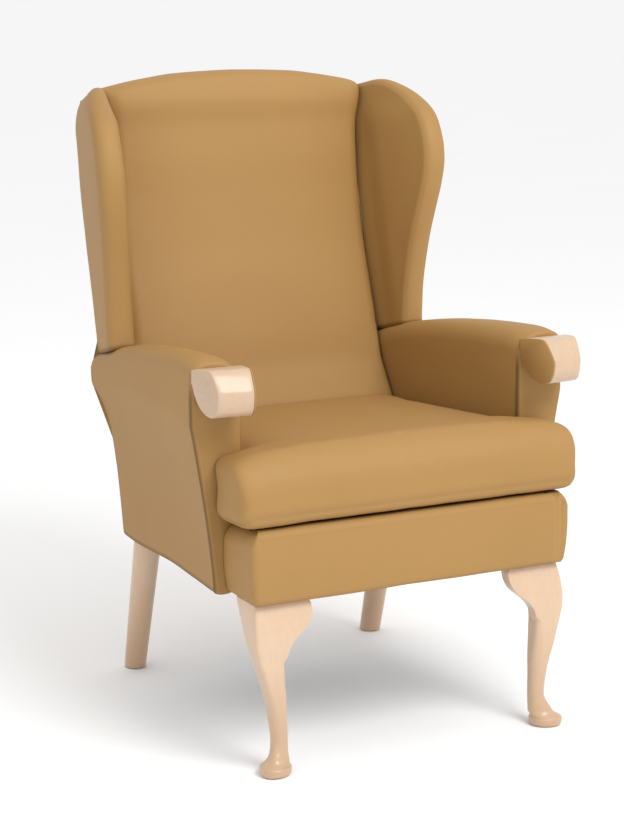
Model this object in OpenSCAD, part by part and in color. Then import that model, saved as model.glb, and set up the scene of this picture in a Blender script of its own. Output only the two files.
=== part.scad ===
// Fireside wing chair with a loose seat cushion and wooden hand grips.
// Lengths are in millimetres. X runs to the right as the chair is seen from the front,
// Y runs from the front to the back and Z runs up from the floor.

/* [Body] */
// Clear width between the arms at their front
seat_w = 514; // [480:2:550]
// Height of the underside of the body above the floor
under_h = 277; // [255:1:300]
// Depth of the body at its underside
body_d = 562; // [535:1:590]
// How far each side runs inward towards the back, in degrees
side_taper = 2.6; // [2:0.1:3.2]
// Lean of the back from upright, in degrees
rake = 14; // [12:0.5:16]
// Fall of the seat deck from front to back, in degrees
deck_fall = 3.7; // [3:0.1:4.5]

/* [Seat frame] */
// Thickness of the seat rails and the back posts
rail_t = 25; // [22:0.5:28]
// Height of the front seat rail
front_rail_h = 110; // [95:1:120]
// Length of the two short sides of a corner block
corner_block_w = 55; // [40:1:70]
// Height of a corner block
corner_block_h = 40; // [30:1:60]
// Depth of a back post, front to back
post_d = 32; // [28:1:36]
// Height of the top rail of the back
top_rail_h = 48; // [35:1:60]
// Height of the lower rail of the back
lumbar_rail_h = 50; // [35:1:70]

/* [Suspension] */
// Number of zigzag springs under the seat
springs = 5; // [3:1:6]
// Width of one spring across its loops
spring_w = 48; // [36:1:60]
// Diameter of the spring wire
wire_d = 3.6; // [3:0.1:4.2]
// Distance between two bars of a spring
spring_pitch = 24; // [18:1:32]
// Number of webbing straps across the back
webs = 6; // [4:1:8]
// Width of a webbing strap
web_w = 50; // [40:1:60]
// Thickness of a webbing strap
web_t = 2; // [1.5:0.1:3]
// Thickness of the padded seat deck over the springs
deck_t = 8; // [6:0.5:12]

/* [Arms] */
// Set-back of the arm fronts behind the front border
arm_set = 106; // [90:1:125]
// Rise of the arm's crest over the cushion's front border
arm_rise = 151.4; // [130:0.2:170]
// Fall of the crest from the front of the arm to its rear
arm_fall = 79; // [65:1:90]
// Width over the top of an arm at its front
arm_w = 86; // [78:1:94]
// Width over the top of an arm at its rear
arm_rear_w = 67; // [60:1:74]
// Padding on the inner face of an arm at its front
arm_pad = 15; // [12:0.5:18]
// Padding on the inner face of an arm at its rear
arm_pad_rear = 7; // [5:0.5:9]
// Depth of the roll over the top of an arm at its front
roll_h = 110; // [90:1:125]
// Depth of the roll over the top of an arm at its rear
roll_rear_h = 53; // [42:1:65]
// Thickness of the padding over the top of an arm
arm_top_pad = 13; // [11:0.5:16]
// Width of the outside arm panel's foot beyond the seat rail, at the front
arm_foot_w = 33; // [28:0.5:38]
// Width of the outside arm panel's foot beyond the seat rail, at the rear
arm_foot_rear_w = 28; // [24:0.5:32]
// Thickness of the covers and their wadding on the outside panels
cover_t = 6; // [4:0.5:8]
// Thickness of the padded facing on the front of an arm
facing_t = 8; // [6:0.5:10]
// Thickness of the shaped board behind an arm facing
arm_front_t = 28; // [22:1:34]
// Thickness of the top rail of an arm
arm_rail_t = 25; // [20:1:30]

/* [Hand grips] */
// Reach of a hand grip in front of the arm facing
grip_reach = 84; // [72:1:92]
// Height of a hand grip
grip_h = 74; // [66:1:80]
// Depth of the hand grip's top below the arm's crest
grip_drop = 12; // [10:0.5:15]
// Width of a hand grip at its front
grip_front_w = 58; // [50:1:66]
// How far the outer cheek of a grip runs in from the arm to its front
grip_taper_out = 14; // [8:0.5:18]
// Thickness of the padded inner cheek of a grip
cheek_t = 2.5; // [1.5:0.5:4]
// Diameter of the studs that hold the grips and the legs
bolt_d = 8; // [6:0.5:9]

/* [Back] */
// Length of the back along its lean, underside to crown
back_len = 800; // [770:1:830]
// Thickness of the padded back at the lumbar swell
back_t = 98; // [90:1:106]
// Fall of the crown from its middle to its corners
crown_fall = 22; // [12:1:32]
// Thickness of the outside back panel
back_cover_t = 8; // [6:0.5:10]

/* [Wings] */
// Length of a wing along the back's lean, under the crown's corner
wing_top_drop = 30; // [20:1:45]
// Widest reach of a wing in front of the outside back
wing_reach = 229; // [205:1:245]
// Width of a wing beyond the seat rail's plane, at the outside back
wing_rear_w = 40; // [37:0.5:44]
// Outward flare of a wing's outer face beyond the seat rail's plane, in degrees
wing_out_flare = 9.8; // [9:0.1:10.4]
// Outward flare of a wing's inner face beyond the seat rail's plane, in degrees
wing_in_flare = 10.6; // [10:0.1:11.2]
// Radius of a wing's padded edge
wing_edge_r = 18; // [14:0.5:20]
// Thickness of the plywood in a wing
wing_ply_t = 12; // [9:0.5:14]
// Padding around the edge of a wing's plywood
wing_edge_pad = 24; // [20:0.5:30]

/* [Seat cushion] */
// Height of the cushion's side border at its front
cushion_h = 106; // [90:1:112]
// Rise of the crown over the cushion's border
cushion_crown = 12; // [6:1:20]
// Reach of the cushion in front of the front border
cushion_over = 10; // [0:1:18]
// Width of the cushion beyond the seat opening at each ear
ear_w = 44; // [36:1:50]
// Radius of the rolled front edge of the cushion
cushion_front_r = 46; // [36:1:56]
// Length of the zip in the cushion's rear border
zip_len = 400; // [300:5:430]
// Width of the zip tape
zip_w = 24; // [18:1:30]

/* [Legs] */
// Set-in of a front foot's middle from the plane between seat and arm
foot_set = 20; // [14:1:26]
// Diameter of the pad under a front leg
pad_foot_d = 54; // [46:1:60]
// Thickness of a front leg at its ankle
ankle_w = 28; // [24:0.5:34]
// Width of the square head of a front leg
leg_head_w = 45; // [40:1:50]
// Depth of the square head of a front leg
leg_head_d = 59; // [50:1:64]
// Reach of the ear beside a front leg's head
leg_ear_w = 48; // [36:1:60]
// Height of the ear beside a front leg's head
leg_ear_h = 72; // [60:1:84]
// Diameter of a rear leg at its head
rear_leg_d = 47; // [42:1:50]
// Diameter of a rear leg at the floor
rear_foot_d = 36; // [30:1:40]
// Splay of a rear leg to the back, in degrees
rear_splay = 15.6; // [12:0.2:18]
// Diameter of a floor glide
glide_d = 22; // [16:1:26]
// Height of a glide below the foot that it is nailed to
glide_h = 1.5; // [1:0.1:3]

/* [Hidden] */

leather = [0.72, 0.55, 0.33];
leather_shade = [0.64, 0.47, 0.27];
beech = [0.88, 0.76, 0.63];
raw_wood = [0.79, 0.68, 0.50];
steel = [0.62, 0.63, 0.65];
cambric = [0.20, 0.19, 0.18];
hessian = [0.62, 0.53, 0.38];
foam = [0.93, 0.90, 0.80];
nylon = [0.86, 0.85, 0.82];

fit = 0.3;
overrun = 2;
arc_steps = 4;
big = 2 * (back_len + body_d);

function lerp(a, b, t) = a + (b - a) * t;
function clamp(t) = max(0, min(1, t));
function reversed(list) = [for (i = [len(list) - 1 : -1 : 0]) list[i]];
function rounding(dist, r) = sqrt(max(0, 1 - pow(1 - clamp(dist / r), 2)));

// Value at t in a table of pairs, straight between its entries
function along(t, table, i = 0) =
    i >= len(table) - 2 || t <= table[i + 1][0]
        ? lerp(table[i][1], table[i + 1][1],
               clamp((t - table[i][0]) / (table[i + 1][0] - table[i][0])))
        : along(t, table, i + 1);

// Arc of points around a centre in a plane
function arc(cx, cy, r, from, to, steps = arc_steps) =
    [for (i = [0 : steps]) let (a = lerp(from, to, i / steps)) [cx + r * cos(a), cy + r * sin(a)]];

// Closed solid through a row of equal rings, with a cap at each end
module loft(rings, flip = false) {
    m = len(rings[0]);
    n = len(rings);
    sides = [for (i = [0 : n - 2]) for (k = [0 : m - 1])
        let (a = i * m + k, b = i * m + (k + 1) % m)
        each [[a, a + m, b + m], [a, b + m, b]]];
    caps = [[for (k = [0 : m - 1]) k], [for (k = [m - 1 : -1 : 0]) (n - 1) * m + k]];
    faces = concat(sides, caps);
    polyhedron(points = [for (r = rings) each r],
               faces = flip ? [for (f = faces) reversed(f)] : faces);
}

// Prisms with their outline in the YZ, XZ and XY planes
module prism_x(outline, x0, x1) {
    translate([x0, 0, 0]) rotate([90, 0, 90]) linear_extrude(x1 - x0) polygon(outline);
}
module prism_y(outline, y0, y1) {
    translate([0, y1, 0]) rotate([90, 0, 0]) linear_extrude(y1 - y0) polygon(outline);
}
module prism_z(outline, z0, z1) {
    translate([0, 0, z0]) linear_extrude(z1 - z0) polygon(outline);
}

// The plane between the seat box and the arm, which runs in towards the back
side_x = seat_w / 2 + arm_pad;
function plane_x(y) = side_x - tan(side_taper) * (y - arm_set);
function rail_in_x(y) = plane_x(y) - rail_t / cos(side_taper);

module side_frame() {
    translate([side_x, arm_set, 0]) rotate([0, 0, side_taper]) translate([0, -arm_set, 0]) children();
}

// The leaning frame of the back: s runs up the back and d forward from the outside back
module rake_frame() {
    translate([0, body_d, under_h]) rotate([-rake, 0, 0]) children();
}
function rake_y(s, d) = body_d + s * sin(rake) - d * cos(rake);
function rake_z(s, d) = under_h + s * cos(rake) + d * sin(rake);
function rear_y(z, d) = body_d + tan(rake) * (z - under_h) - d / cos(rake);

// Where the origin lies: midway between the front toes and the top of the outside back
foot_x = side_x - foot_set;
foot_y = 2;
toe_out = pad_foot_d / 2 - foot_y;
crown_over = 12;
outside_back_len = back_len - crown_over;
mid_y = (body_d + outside_back_len * sin(rake) - toe_out) / 2;
module place() {
    translate([0, -mid_y, 0]) children();
}
module left_side() {
    place() mirror([1, 0, 0]) children();
}
module right_side() {
    place() children();
}

// Heights of the seat deck, the rails and the springs
border_t = 14;
clip_t = 1.6;
spring_layer = wire_d + clip_t + fit;
rail_y0 = border_t;
rail_y1 = border_t + rail_t;
function deck_z(y) =
    under_h + front_rail_h + spring_layer + deck_t - tan(deck_fall) * (y - (rail_y0 + rail_y1) / 2);
function side_rail_z(y) = deck_z(y) - deck_t;
function cross_rail_z(y) = side_rail_z(y) - spring_layer;
cushion_foot = 0.4;
arm_h = deck_z(0) + cushion_foot + cushion_h + arm_rise;

post_front = back_cover_t + fit + post_d;
post_foot_y = rear_y(under_h, post_front + fit);
back_rail_y1 = post_foot_y - fit;
back_rail_y0 = back_rail_y1 - rail_t;

// Outline of a cross rail in plan, between the two side rails
function cross_plan(y0, y1) =
    [[-rail_in_x(y0), y0], [rail_in_x(y0), y0], [rail_in_x(y1), y1], [-rail_in_x(y1), y1]];

module cross_rail(y0, y1) {
    intersection() {
        prism_z(cross_plan(y0, y1), under_h, under_h + 2 * front_rail_h);
        prism_x([[y0, under_h], [y1, under_h], [y1, cross_rail_z(y1)], [y0, cross_rail_z(y0)]],
                -seat_w, seat_w);
    }
}

// Bolts that hang the legs from the frame
leg_top_y = 15;
leg_proud = 1;
leg_head_x1 = plane_x(leg_top_y) + leg_proud;
leg_head_x0 = leg_head_x1 - leg_head_w;
rear_leg_back = 4;
rear_leg_in = 9;
rear_leg_y = post_foot_y + rear_leg_back;
rear_leg_x = plane_x(rear_leg_y) - rear_leg_in;
front_bolt = [leg_head_x0 + bolt_d, leg_top_y + 0.63 * leg_head_d];
rear_bolt = [plane_x(back_rail_y1) - rail_t / 2, back_rail_y1 - bolt_d];
leg_bolt_half = 30;
bolt_clear = 0.15;

module leg_bolt_holes() {
    for (p = [front_bolt, rear_bolt])
        translate([p[0], p[1], under_h - leg_bolt_half])
            cylinder(h = 2 * leg_bolt_half, d = bolt_d + 2 * bolt_clear, $fn = 32);
}

module seat_front_rail() {
    color(raw_wood) place() cross_rail(rail_y0, rail_y1);
}

module seat_back_rail() {
    color(raw_wood) place() cross_rail(back_rail_y0, back_rail_y1);
}

module side_rail() {
    y0 = rail_y0 + rail_t * sin(side_taper);
    high = under_h + 2 * front_rail_h;
    difference() {
        side_frame() intersection() {
            prism_x([[y0, under_h], [body_d, under_h], [body_d, side_rail_z(body_d) - fit],
                     [y0, side_rail_z(y0) - fit]], -rail_t, 0);
            prism_x([[y0, under_h], [post_foot_y, under_h], [rear_y(high, post_front + fit), high],
                     [y0, high]], -rail_t, 0);
        }
        leg_bolt_holes();
        prism_z(cross_plan(-rail_t, rail_y1), under_h - overrun, under_h + 2 * front_rail_h);
    }
}
module seat_side_rail_left() {
    color(raw_wood) left_side() side_rail();
}
module seat_side_rail_right() {
    color(raw_wood) right_side() side_rail();
}

// Triangular blocks glued into the corners of the seat box
module corner_block(y, step) {
    x = rail_in_x(y);
    tip = y + step * corner_block_w;
    prism_z([[x, y], [x - corner_block_w, y], [rail_in_x(tip), tip]],
            under_h, under_h + corner_block_h);
}
module corner_blocks() {
    color(raw_wood) place() for (m = [0, 1]) mirror([m, 0, 0]) {
        difference() {
            corner_block(rail_y1, 1);
            leg_bolt_holes();
        }
        corner_block(back_rail_y0, -1);
    }
}

// Back posts and the two rails between them
post_drop = 34;
post_len = back_len - crown_fall - post_drop;
module back_post() {
    side_frame() rake_frame() translate([-rail_t, -post_front, 0]) cube([rail_t, post_d, post_len]);
}
module back_post_left() {
    color(raw_wood) left_side() back_post();
}
module back_post_right() {
    color(raw_wood) right_side() back_post();
}

// Crown of the back: how far below the middle it lies at a share of the half width
crown_shares = [[0, 0], [0.45, 0.14], [0.61, 0.41], [0.79, 0.73], [0.9, 0.86], [1, 1.1]];
corner_drop = 16;
function crown_at(x, half_w) =
    back_len - crown_fall * along(abs(x) / half_w, crown_shares)
    - corner_drop * pow(clamp((abs(x) / half_w - 0.88) / 0.12), 2);

back_rail_d0 = back_cover_t + fit;
back_rail_d1 = back_rail_d0 + 0.75 * post_d;
function post_in_x(s) = plane_x(rake_y(s, back_rail_d0)) - rail_t - fit;

crown_pad = 16;
function top_arch(grow) =
    let (x1 = post_in_x(post_len))
    [for (i = [8 : -1 : -8]) let (x = (x1 + grow) * i / 8)
        [x, crown_at(x, x1 + rail_t) - crown_pad + grow]];
module back_top_rail() {
    s0 = post_len - top_rail_h;
    x0 = post_in_x(s0);
    color(raw_wood) place() rake_frame()
        prism_y(concat([[-x0, s0], [x0, s0]], top_arch(0)), -back_rail_d1, -back_rail_d0);
}

lumbar_s = 96;
module back_lower_rail() {
    x0 = post_in_x(lumbar_s);
    x1 = post_in_x(lumbar_s + lumbar_rail_h);
    color(raw_wood) place() rake_frame()
        prism_y([[-x0, lumbar_s], [x0, lumbar_s],
                 [x1, lumbar_s + lumbar_rail_h], [-x1, lumbar_s + lumbar_rail_h]],
                -back_rail_d1, -back_rail_d0);
}

// Straps that cross the front faces of the posts
web_d0 = post_front + rail_t * sin(side_taper) + 4 * fit;
web_s0 = lumbar_s + lumbar_rail_h;
web_s1 = post_len - top_rail_h - web_w;
module back_webbing() {
    color(hessian) place() rake_frame() for (i = [0 : webs - 1]) {
        s = lerp(web_s0, web_s1, i / (webs - 1));
        x = post_in_x(s + web_w) + 0.75 * rail_t;
        translate([-x, -web_d0 - web_t, s]) cube([2 * x, web_t, web_w]);
    }
}

// Zigzag springs: bars across the spring joined by round turns
spring_y0 = rail_y1 - 0.56 * rail_t;
spring_y1 = back_rail_y0 + 0.48 * rail_t;
spring_bars = 2 * floor((spring_y1 - spring_y0) / spring_pitch / 2);
function spring_path() =
    let (step = (spring_y1 - spring_y0) / spring_bars, half = (spring_w - step) / 2)
    concat([[0, spring_y0]],
           [for (i = [0 : spring_bars - 1])
               let (side = i % 2 == 0 ? 1 : -1, yc = spring_y0 + (i + 0.5) * step)
               each [for (a = [-90 : 45 : 90]) [side * (half + cos(a) * step / 2), yc + sin(a) * step / 2]]],
           [[0, spring_y1]]);
function edge_of(path, side) =
    [for (i = [0 : len(path) - 1])
        let (p = path[max(0, i - 1)], q = path[min(len(path) - 1, i + 1)],
             t = (q - p) / norm(q - p))
        path[i] + side * wire_d / 2 * [-t[1], t[0]]];
module spring_plane(y) {
    translate([0, 0, cross_rail_z(0)]) rotate([-deck_fall, 0, 0]) children();
}
spring_half = seat_w / 2 - arm_pad - spring_w / 2 - rail_t;
function spring_x(i) = lerp(-spring_half, spring_half, i / (springs - 1));
module seat_springs() {
    path = spring_path();
    color(steel) place() spring_plane() for (i = [0 : springs - 1])
        translate([spring_x(i), 0, fit / 2])
            linear_extrude(wire_d) polygon(concat(edge_of(path, 1), reversed(edge_of(path, -1))));
}

// Steel plates that hold the spring ends down on the rails
clip_w = 18;
clip_d = 9;
clip_off = wire_d / 2 + fit;
module spring_clips() {
    color(steel) place() spring_plane() for (i = [0 : springs - 1]) for (e = [0, 1])
        translate([spring_x(i) - clip_w / 2,
                   e == 0 ? spring_y0 - clip_d - clip_off : spring_y1 + clip_off, 0]) {
            cube([clip_w, clip_d, wire_d + fit]);
            translate([0, e == 0 ? 0 : -clip_d, wire_d + fit]) cube([clip_w, 2 * clip_d, clip_t - fit]);
        }
}

// Padded deck that the cushion lies on
deck_y0 = 22;
module seat_deck() {
    k = cos(deck_fall);
    y0 = (deck_y0 + fit) / k;
    y1 = (arm_set - 3 * fit) / k;
    y2 = back_rail_y1 / k;
    in1 = arm_pad + 2 * fit;
    x0 = side_x - 3 * fit;
    plan = [[x0, y0], [x0, y1], [plane_x(y1) - in1, y1], [plane_x(y2) - in1, y2]];
    color(hessian) place() translate([0, 0, side_rail_z(0)]) rotate([-deck_fall, 0, 0])
        linear_extrude(deck_t * k)
            polygon(concat(plan, reversed([for (p = plan) [-p[0], p[1]]])));
}

// Arm section. v runs from 0 at the arm's front to 1 at the outside back, and widths are
// measured outward from the side plane.
arm_y0 = arm_set + facing_t;
arm_d1 = back_cover_t + fit;
roll_fall_share = 1.7;
front_flare_share = 1.3;
rear_flare_share = 4.5;
edge_r = 22;
edge_rear_r = 26;
inner_edge_front_w = 40;
inner_edge_front_h = 34;
arm_crown = 6;
function arm_y(v, z) = lerp(arm_y0, rear_y(z, arm_d1), v);
wing_foot_s = (arm_h - arm_fall - under_h) / cos(rake);
function wing_seat_z(v) =
    under_h + (wing_foot_s - sin(rake) * ((1 - v) * (arm_y0 - body_d) - v * arm_d1 / cos(rake)))
    / (cos(rake) + sin(rake) * v * tan(rake));
function crest_z(v) = min(arm_h - arm_fall * pow(v, roll_fall_share), wing_seat_z(v));
function arm_in(v) = -lerp(arm_pad, arm_pad_rear, v);
function arm_out(v) = lerp(arm_w - arm_pad, arm_rear_w - arm_pad_rear, v);
function arm_foot(v) = lerp(arm_foot_w, arm_foot_rear_w, v);
function roll_z(v) = crest_z(v) - lerp(roll_h, roll_rear_h, v);
function flare_x(v, h) =
    lerp(arm_foot(v), arm_out(v), pow(h, lerp(front_flare_share, rear_flare_share, v)));
// Height at which a sloping line, z = high - slope * y, crosses a station v of a pad that
// ends at the depth d of the back
function line_at(v, high, slope, d) =
    (high - slope * ((1 - v) * arm_y0 + v * (body_d - tan(rake) * under_h - d / cos(rake))))
    / (1 + slope * v * tan(rake));
function arm_pocket_z(v) = lerp(arm_h, arm_h - arm_fall, v) - arm_crown - arm_top_pad;

// Rounded inner edge of an arm's top, as a point at its angle, and that angle at a given width
function inner_edge_w(v) = lerp(inner_edge_front_w, edge_rear_r, v);
function inner_edge_at(v, a) =
    [arm_in(v) + inner_edge_w(v) * (1 + cos(a)),
     crest_z(v) - arm_crown - lerp(inner_edge_front_h, edge_rear_r, v) * (1 - sin(a))];
function inner_edge_angle(v, x) = acos(clamp((x - arm_in(v)) / inner_edge_w(v)) - 1);
function inner_edge(v, from, to, steps) =
    [for (i = [0 : steps]) inner_edge_at(v, lerp(from, to, i / steps))];
function outer_edge(v) =
    let (xo = arm_out(v), r = lerp(edge_r, edge_rear_r, v), zc = crest_z(v), ze = zc - arm_crown)
    concat([[lerp(arm_in(v) + inner_edge_w(v), xo - r, 0.5), zc]], arc(xo - r, ze - r, r, 90, 0));
function arm_top_curve(v) = concat(inner_edge(v, 180, 90, arc_steps), outer_edge(v));

// Padded inner face of an arm, from the seat frame up to the side plane's edge of the roll.
// It ends at the front of the back post.
arm_pad_d = post_front + fit + rail_t * sin(side_taper);
function arm_pad_ring(t) =
    let (v = t * (1 - (arm_pad_d - arm_d1) / (body_d - arm_y0)), xi = arm_in(v),
         zf = line_at(t, side_rail_z(0), tan(deck_fall), arm_pad_d) + fit,
         section = concat([[xi, zf]], inner_edge(v, 180, inner_edge_angle(v, -fit), 3), [[-fit, zf]]))
    [for (p = section) let (y = lerp(arm_y0, rear_y(p[1], arm_pad_d), t)) [plane_x(y) + p[0], y, p[1]]];
arm_pad_shares = [0, 0.2, 0.4, 0.6, 0.8, 1];
module inside_arm() {
    loft([for (t = arm_pad_shares) arm_pad_ring(t)]);
}
module inside_arm_left() {
    color(leather) left_side() inside_arm();
}
module inside_arm_right() {
    color(leather) right_side() inside_arm();
}

// Padded roll over the top of an arm, from the side plane over the rail and down outside
function arm_roll_ring(v) =
    let (xo = arm_out(v), zp = arm_pocket_z(v) + fit,
         section = concat([[fit, zp]], inner_edge(v, inner_edge_angle(v, fit), 90, 3), outer_edge(v),
                          [[xo, roll_z(v)], [xo - cover_t, roll_z(v)], [xo - cover_t, zp]]))
    [for (p = section) let (y = arm_y(v, p[1])) [plane_x(y) + p[0], y, p[1]]];
arm_station_shares = [0, 0.12, 0.25, 0.4, 0.55, 0.7, 0.8, 0.9, 1];
module arm_roll() {
    loft([for (v = arm_station_shares) arm_roll_ring(v)]);
}
module arm_roll_left() {
    color(leather) left_side() arm_roll();
}
module arm_roll_right() {
    color(leather) right_side() arm_roll();
}

flare_shares = [1, 0.85, 0.7, 0.55, 0.4, 0.2, 0];
function outside_arm_ring(v) =
    let (top = roll_z(v) - fit,
         outer = [for (h = flare_shares) [flare_x(v, h), lerp(under_h, top, h)]],
         inner = [for (h = reversed(flare_shares)) [flare_x(v, h) - cover_t, lerp(under_h, top, h)]])
    [for (p = concat(outer, inner)) let (y = arm_y(v, p[1])) [plane_x(y) + p[0], y, p[1]]];
outside_arm_shares = [0, 0.2, 0.4, 0.6, 0.8, 1];
module outside_arm() {
    loft([for (v = outside_arm_shares) outside_arm_ring(v)]);
}
module outside_arm_left() {
    color(leather) left_side() outside_arm();
}
module outside_arm_right() {
    color(leather) right_side() outside_arm();
}

// Hand grip: a rounded bar that juts from the arm's front, under the arm's crest
grip_top = arm_h - grip_drop;
grip_stud_z = grip_top - 0.23 * grip_h;
grip_stud_shares = [0.14, 0.62];
board_y0 = arm_y0 + fit;
stud_y1 = board_y0 + 0.9 * arm_front_t;
stud_clear = 1;
stud_y0 = arm_set - 0.38 * grip_reach;
module grip_stud_holes() {
    for (t = grip_stud_shares)
        translate([side_x + t * grip_out0, stud_y1 + stud_clear, grip_stud_z]) rotate([90, 0, 0])
            cylinder(h = stud_y1 - stud_y0 + 2 * stud_clear, d = bolt_d + 2 * bolt_clear, $fn = 32);
}
// Side view of the grip, as shares of its reach and its height
grip_shares = [[0, 0.08], [0.19, 0.025], [0.38, 0], [0.52, 0.015], [0.63, 0.06], [0.75, 0.15],
               [0.857, 0.284], [0.94, 0.45], [0.99, 0.6], [1, 0.7], [0.975, 0.81],
               [0.93, 0.9], [0.869, 0.955], [0.8, 0.985], [0.72, 1], [0.6, 0.975], [0.45, 0.91],
               [0.3, 0.8], [0.17, 0.66], [0.07, 0.5], [0, 0.35]];
function grip_outline() =
    [for (p = grip_shares) [arm_set - p[0] * grip_reach, grip_top - p[1] * grip_h]];
grip_in0 = -arm_pad;
grip_out0 = arm_w - arm_pad;
grip_out1 = grip_out0 - grip_taper_out;
grip_in1 = grip_out1 - grip_front_w;
grip_skew = 5;
module grip_plan(in0, in1, out0, out1, out_skew) {
    y1 = arm_set - grip_reach;
    translate([side_x, 0, 0])
        prism_z([[in0, arm_set], [in1, y1 - grip_skew], [out1, y1 + out_skew], [out0, arm_set]],
                grip_top - 2 * grip_h, grip_top + grip_h);
}
module hand_grip() {
    difference() {
        intersection() {
            prism_x(grip_outline(), 0, seat_w);
            grip_plan(grip_in0 + cheek_t, grip_in1 + cheek_t, grip_out0, grip_out1, grip_skew);
        }
        grip_stud_holes();
    }
}
module grip_cheek() {
    intersection() {
        prism_x(grip_outline(), 0, seat_w);
        grip_plan(grip_in0, grip_in1, grip_in0 + cheek_t, grip_in1 + cheek_t, -grip_skew);
    }
}
module hand_grip_left() {
    color(beech) left_side() hand_grip();
}
module hand_grip_right() {
    color(beech) right_side() hand_grip();
}
module grip_cheek_left() {
    color(leather) left_side() grip_cheek();
}
module grip_cheek_right() {
    color(leather) right_side() grip_cheek();
}
module grip_studs() {
    color(steel) place() for (m = [0, 1]) mirror([m, 0, 0]) for (t = grip_stud_shares)
        translate([side_x + t * grip_out0, stud_y1, grip_stud_z]) rotate([90, 0, 0])
            cylinder(h = stud_y1 - stud_y0, d = bolt_d, $fn = 32);
}

// Padded panel on the front of an arm
module arm_facing() {
    floor_z = side_rail_z(arm_set) + fit;
    outline = concat([[arm_in(0), floor_z]], arm_top_curve(0), [[arm_out(0), roll_z(0)]],
                     [for (h = flare_shares) [flare_x(0, h), lerp(under_h, roll_z(0), h)]],
                     [[fit, under_h], [fit, floor_z]]);
    difference() {
        prism_y([for (p = outline) [side_x + p[0], p[1]]], arm_set, arm_y0);
        grip_stud_holes();
    }
}
module arm_facing_left() {
    color(leather_shade) left_side() arm_facing();
}
module arm_facing_right() {
    color(leather_shade) right_side() arm_facing();
}

// Woodwork of an arm
board_gap = cover_t + 4 * fit;
arm_rail_w = arm_rear_w - arm_pad_rear - board_gap;
function arm_rail_z(y) =
    let (y1 = rear_y(arm_pocket_z(1), arm_d1))
    lerp(arm_pocket_z(0), arm_pocket_z(1), (y - arm_y0) / (y1 - arm_y0));
module arm_front_board() {
    top = arm_rail_z(board_y0 + arm_front_t);
    outline = concat([[0, under_h]],
                     [for (h = reversed(flare_shares))
                         [flare_x(0, h) - board_gap - cover_t / 2, lerp(under_h, roll_z(0), h)]],
                     [[arm_out(0) - board_gap - cover_t / 2, top], [0, top]]);
    difference() {
        prism_y([for (p = outline) [plane_x(board_y0) + p[0], p[1]]], board_y0, board_y0 + arm_front_t);
        grip_stud_holes();
    }
}
module arm_front_board_left() {
    color(raw_wood) left_side() arm_front_board();
}
module arm_front_board_right() {
    color(raw_wood) right_side() arm_front_board();
}
module arm_top_rail() {
    y1 = rear_y(arm_pocket_z(1), arm_d1 + arm_rail_t);
    y0 = board_y0 + arm_front_t;
    side_frame() prism_x([[y0, arm_rail_z(y0)], [y0, arm_rail_z(y0) - arm_rail_t],
                          [y1, arm_rail_z(y1) - arm_rail_t], [y1, arm_rail_z(y1)]], 0, arm_rail_w);
}
module arm_top_rail_left() {
    color(raw_wood) left_side() arm_top_rail();
}
module arm_top_rail_right() {
    color(raw_wood) right_side() arm_top_rail();
}
base_rail_h = 60;
module arm_base_rail() {
    y0 = board_y0 + arm_front_t;
    side_frame() prism_x([[y0, under_h], [rear_y(under_h, arm_d1 + cover_t), under_h],
                          [rear_y(under_h + base_rail_h, arm_d1 + cover_t), under_h + base_rail_h],
                          [y0, under_h + base_rail_h]], 0, arm_foot_rear_w - cover_t - fit);
}
module arm_base_rail_left() {
    color(raw_wood) left_side() arm_base_rail();
}
module arm_base_rail_right() {
    color(raw_wood) right_side() arm_base_rail();
}

// Wing: its front edge as shares of its length up the back and of its widest reach
wing_len = back_len - wing_top_drop - wing_foot_s;
wing_edge_shares = [[0, 0.555], [0.15, 0.626], [0.306, 0.736], [0.431, 0.85], [0.525, 0.934],
                    [0.611, 0.991], [0.709, 1], [0.801, 0.938], [0.869, 0.819], [0.92, 0.69],
                    [0.966, 0.52], [0.99, 0.3], [1, 0.07]];
wing_top_shares = [[0, 1], [0.3, 0.99], [0.52, 0.966], [0.69, 0.92], [0.819, 0.869],
                   [0.938, 0.801], [1, 0.709]];
wing_d0 = back_cover_t + fit;
function wing_edge(s) = wing_reach * along((s - wing_foot_s) / wing_len, wing_edge_shares);
function wing_top(d) = wing_foot_s + wing_len * along(d / wing_reach, wing_top_shares);
wing_in_off = 3.2;
wing_in_x0 = -tan(wing_in_flare) * post_front + wing_in_off;
wing_top_turn = 70;
wing_turn_in = 16;
function wing_out(d, s) =
    wing_rear_w + tan(wing_out_flare) * d
    - wing_turn_in * pow(clamp((s - wing_foot_s - wing_len + wing_top_turn) / wing_top_turn), 2);
function wing_in(d) = max(fit, wing_in_x0 + tan(wing_in_flare) * d);
function wing_point(xp, d, s) =
    let (y = rake_y(s, d)) [plane_x(y) + xp, y, rake_z(s, d)];
wing_depth_shares = [0, 0.3, 0.55, 0.74, 0.86, 0.94, 0.985];
function wing_face(s, d, side) =
    let (a = wing_in(d), b = wing_out(d, s),
         w = rounding(min(wing_edge(s) - d, wing_top(d) - s), wing_edge_r))
    (a + b) / 2 + side * (b - a) / 2 * max(0.12, w);
function wing_ring(s) =
    let (ds = [for (t = wing_depth_shares) lerp(wing_d0, wing_edge(s), t)], tip = wing_edge(s))
    concat([for (d = ds) wing_point(wing_face(s, d, 1), d, s)],
           [wing_point((wing_in(tip) + wing_out(tip, s)) / 2, tip, s)],
           [for (d = reversed(ds)) wing_point(wing_face(s, d, -1), d, s)]);
wing_station_shares = [0, 0.15, 0.306, 0.431, 0.525, 0.611, 0.709, 0.801, 0.869, 0.92, 0.95,
                       0.972, 0.988, 0.997];
module wing() {
    loft([for (t = wing_station_shares) wing_ring(wing_foot_s + fit + (wing_len - fit) * t)], true);
}

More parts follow.
